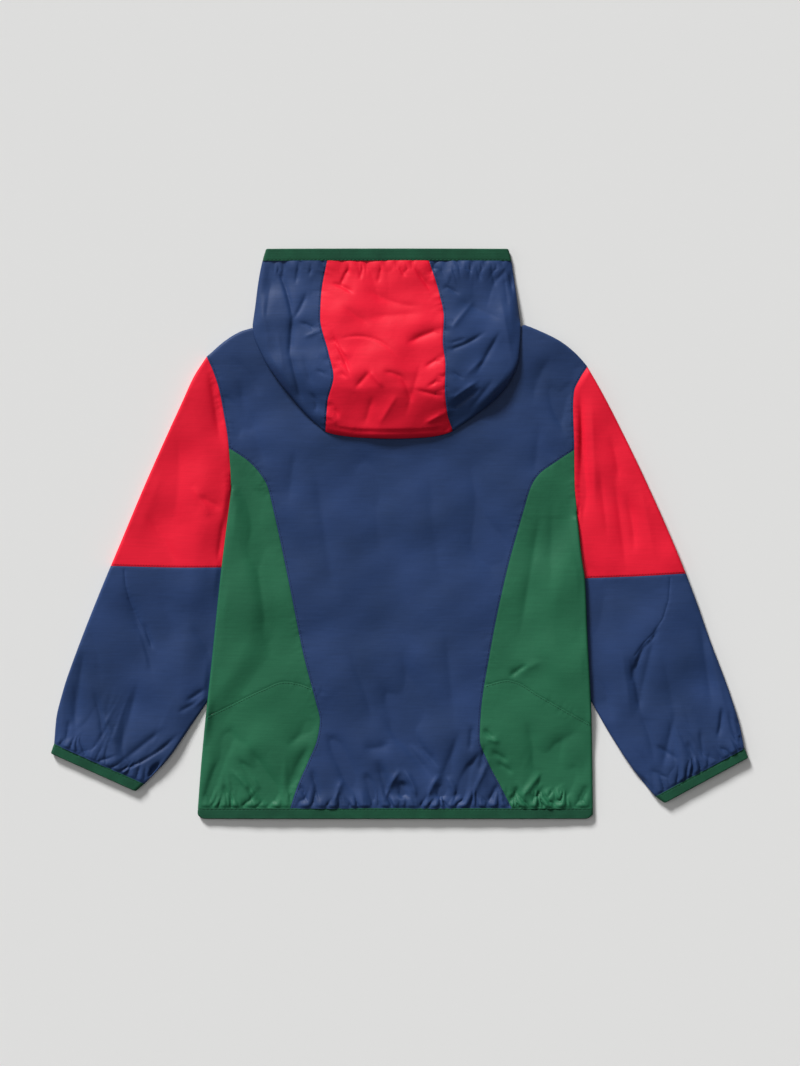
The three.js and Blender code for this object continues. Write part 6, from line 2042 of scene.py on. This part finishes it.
    def pull(self, shop: Workshop) -> bpy.types.Object:
        """The pull tab: a stirrup on a pin, with a broad end to grip.

        Args:
            shop: Where pieces are made.

        Returns:
            The piece.
        """
        pin_y = SLIDER_Y - 1.8
        low, high = self.pin_z - self.pull_thick / 2, self.pin_z + self.pull_thick / 2
        start, end = pin_y + 0.3, pin_y - self.pull_length
        outer = self.rounded(self.pull_width, start - end, self.pull_width, 1.2) + [ZIP_X, (start + end) / 2]
        slot_length = 5.4
        inner = self.rounded(self.pull_width - 2, slot_length, self.pull_width - 2, 0.7)
        inner = inner + [ZIP_X, start - 0.3 - slot_length / 2]
        count = len(outer)
        soft = 0.15
        middle = outer.mean(0)
        outer_in = middle + (outer - middle) * (1 - soft / np.array([2.5, 11.0]))
        rows = [(inner, low), (outer_in, low), (outer, low + soft)]
        rows += [(outer, high - soft), (outer_in, high), (inner, high)]
        points = np.vstack([np.column_stack([row, np.full(count, z)]) for row, z in rows])
        turn = np.linspace(0, 2 * math.pi, 12, endpoint=False)
        half = self.pull_width / 2 - 0.3
        ring = np.column_stack([np.cos(turn), np.sin(turn)]) * self.pin_radius + [pin_y, self.pin_z]
        pin = np.vstack([np.column_stack([np.full(12, ZIP_X + x), ring]) for x in (-half, half)])
        pin_faces = [face[::-1] for face in tube_faces(2, 12, capped=True)]
        whole = joined([(points, tube_faces(6, count, closed=True)), (pin, pin_faces)])
        piece = shop.piece("zip_pull_casting", *whole, ZINC, PULL_BODY, ("zip_pull",))
        piece.data.polygons.foreach_set("use_smooth", [False] * len(piece.data.polygons))
        return piece

    def build(self, shop: Workshop) -> None:
        """Makes the whole zip."""
        for side in Side:
            self.tape(side, shop)
        self.coil(shop)
        self.slider(shop)
        self.pull(shop)


# The studio


@dataclass(frozen=True)
class Studio:
    """A pale floor, soft light from above and left of the hood, and a camera straight over the jacket."""

    frame_height: float = 1.066
    lens_mm: float = 100.0
    sensor_mm: float = 36.0
    centre: tuple[float, float] = (0.0, 0.001)
    sun_elevation: float = 27.0
    sun_azimuth: float = 118.0  # of the light's place, from +X towards +Y
    sun_size: float = 15.0
    sun_power: float = 4.6
    sky: str = "#ffffff"
    sky_power: float = 0.1
    side: tuple[float, float, float] = (-0.95, 0.05, 0.38)
    side_size: float = 36.0
    side_power: float = 0.4
    overhead_size: float = 50.0
    overhead_power: float = 0.52
    floor_colour: str = "#e0e0df"
    floor_size: float = 8.0

    def floor(self) -> bpy.types.Object:
        """The matt painted board that the jacket lies on."""
        half = self.floor_size / 2
        mesh = bpy.data.meshes.new("floor")
        square = [(-half, -half, 0), (half, -half, 0), (half, half, 0), (-half, half, 0)]
        mesh.from_pydata(square, [], [(0, 1, 2, 3)])
        material, tree, shader = new_material("matt_painted_board", Roughness=0.9, Specular_IOR_Level=0.1)
        paint = linear(self.floor_colour)
        grain = noise(tree, place_in(tree), 3.0, 2.0)
        in_two_shades(tree, shader, grain, tuple(0.99 * c for c in paint), paint)
        mesh.materials.append(material)
        floor = bpy.data.objects.new("floor", mesh)
        floor.location.z = -0.0002
        bpy.context.scene.collection.objects.link(floor)
        floor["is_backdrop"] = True
        return floor

    def light(self) -> None:
        """The soft light and the pale room round it."""
        azimuth, elevation = math.radians(self.sun_azimuth), math.radians(self.sun_elevation)
        level = math.cos(elevation)
        towards = Vector((math.cos(azimuth) * level, math.sin(azimuth) * level, math.sin(elevation)))
        for name, power, size, place in (
            ("key_softbox", self.sun_power, self.sun_size, towards),
            ("side_softbox", self.side_power, self.side_size, Vector(self.side)),
            ("overhead_softbox", self.overhead_power, self.overhead_size, Vector((-0.1, 0.15, 1.0))),
        ):
            lamp = bpy.data.lights.new(name, "SUN")
            lamp.energy = power
            lamp.angle = math.radians(size)
            sun = bpy.data.objects.new(name, lamp)
            sun.rotation_euler = (-place).to_track_quat("-Z", "Y").to_euler()
            sun.location = place * 2
            bpy.context.scene.collection.objects.link(sun)
        world = bpy.data.worlds.new("pale_room")
        world.use_nodes = True
        background = world.node_tree.nodes["Background"]
        background.inputs["Color"].default_value = linear(self.sky)
        background.inputs["Strength"].default_value = self.sky_power
        bpy.context.scene.world = world

    def camera(self) -> None:
        """The camera, whose frame is as high as the photographed area."""
        data = bpy.data.cameras.new("overhead")
        data.lens = self.lens_mm
        data.sensor_width = self.sensor_mm
        camera = bpy.data.objects.new("overhead", data)
        camera.location = (*self.centre, self.frame_height * self.lens_mm / self.sensor_mm)
        bpy.context.scene.collection.objects.link(camera)
        bpy.context.scene.camera = camera

    def build(self) -> None:
        """Sets the studio up."""
        self.floor()
        self.light()
        self.camera()
        bpy.context.scene.view_settings.view_transform = "Standard"


def corners() -> list[list[float]]:
    """The shown object's lowest and highest corner as plain lists."""
    return [list(corner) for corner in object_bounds()]


def main() -> None:
    """Dresses the frame and sets up the studio."""
    logging.basicConfig(level=logging.INFO, format="%(name)s: %(message)s")
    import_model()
    shop = Workshop()
    Studio().build()
    body = BodyForm()
    sleeves = [SleeveForm(side, body) for side in Side]
    hood = HoodForm(body)
    panels = Body(body).panels()
    for form in sleeves:
        panels += Sleeve(form).panels()
    panels += Hood(hood).panels()
    for panel in panels:
        panel.build(shop)
    Bindings(body, sleeves, hood).build(shop)
    Stitching({panel.name: panel for panel in panels}, body, sleeves, hood).build(shop)
    Zip().build(shop)


if __name__ == "__main__":
    main()
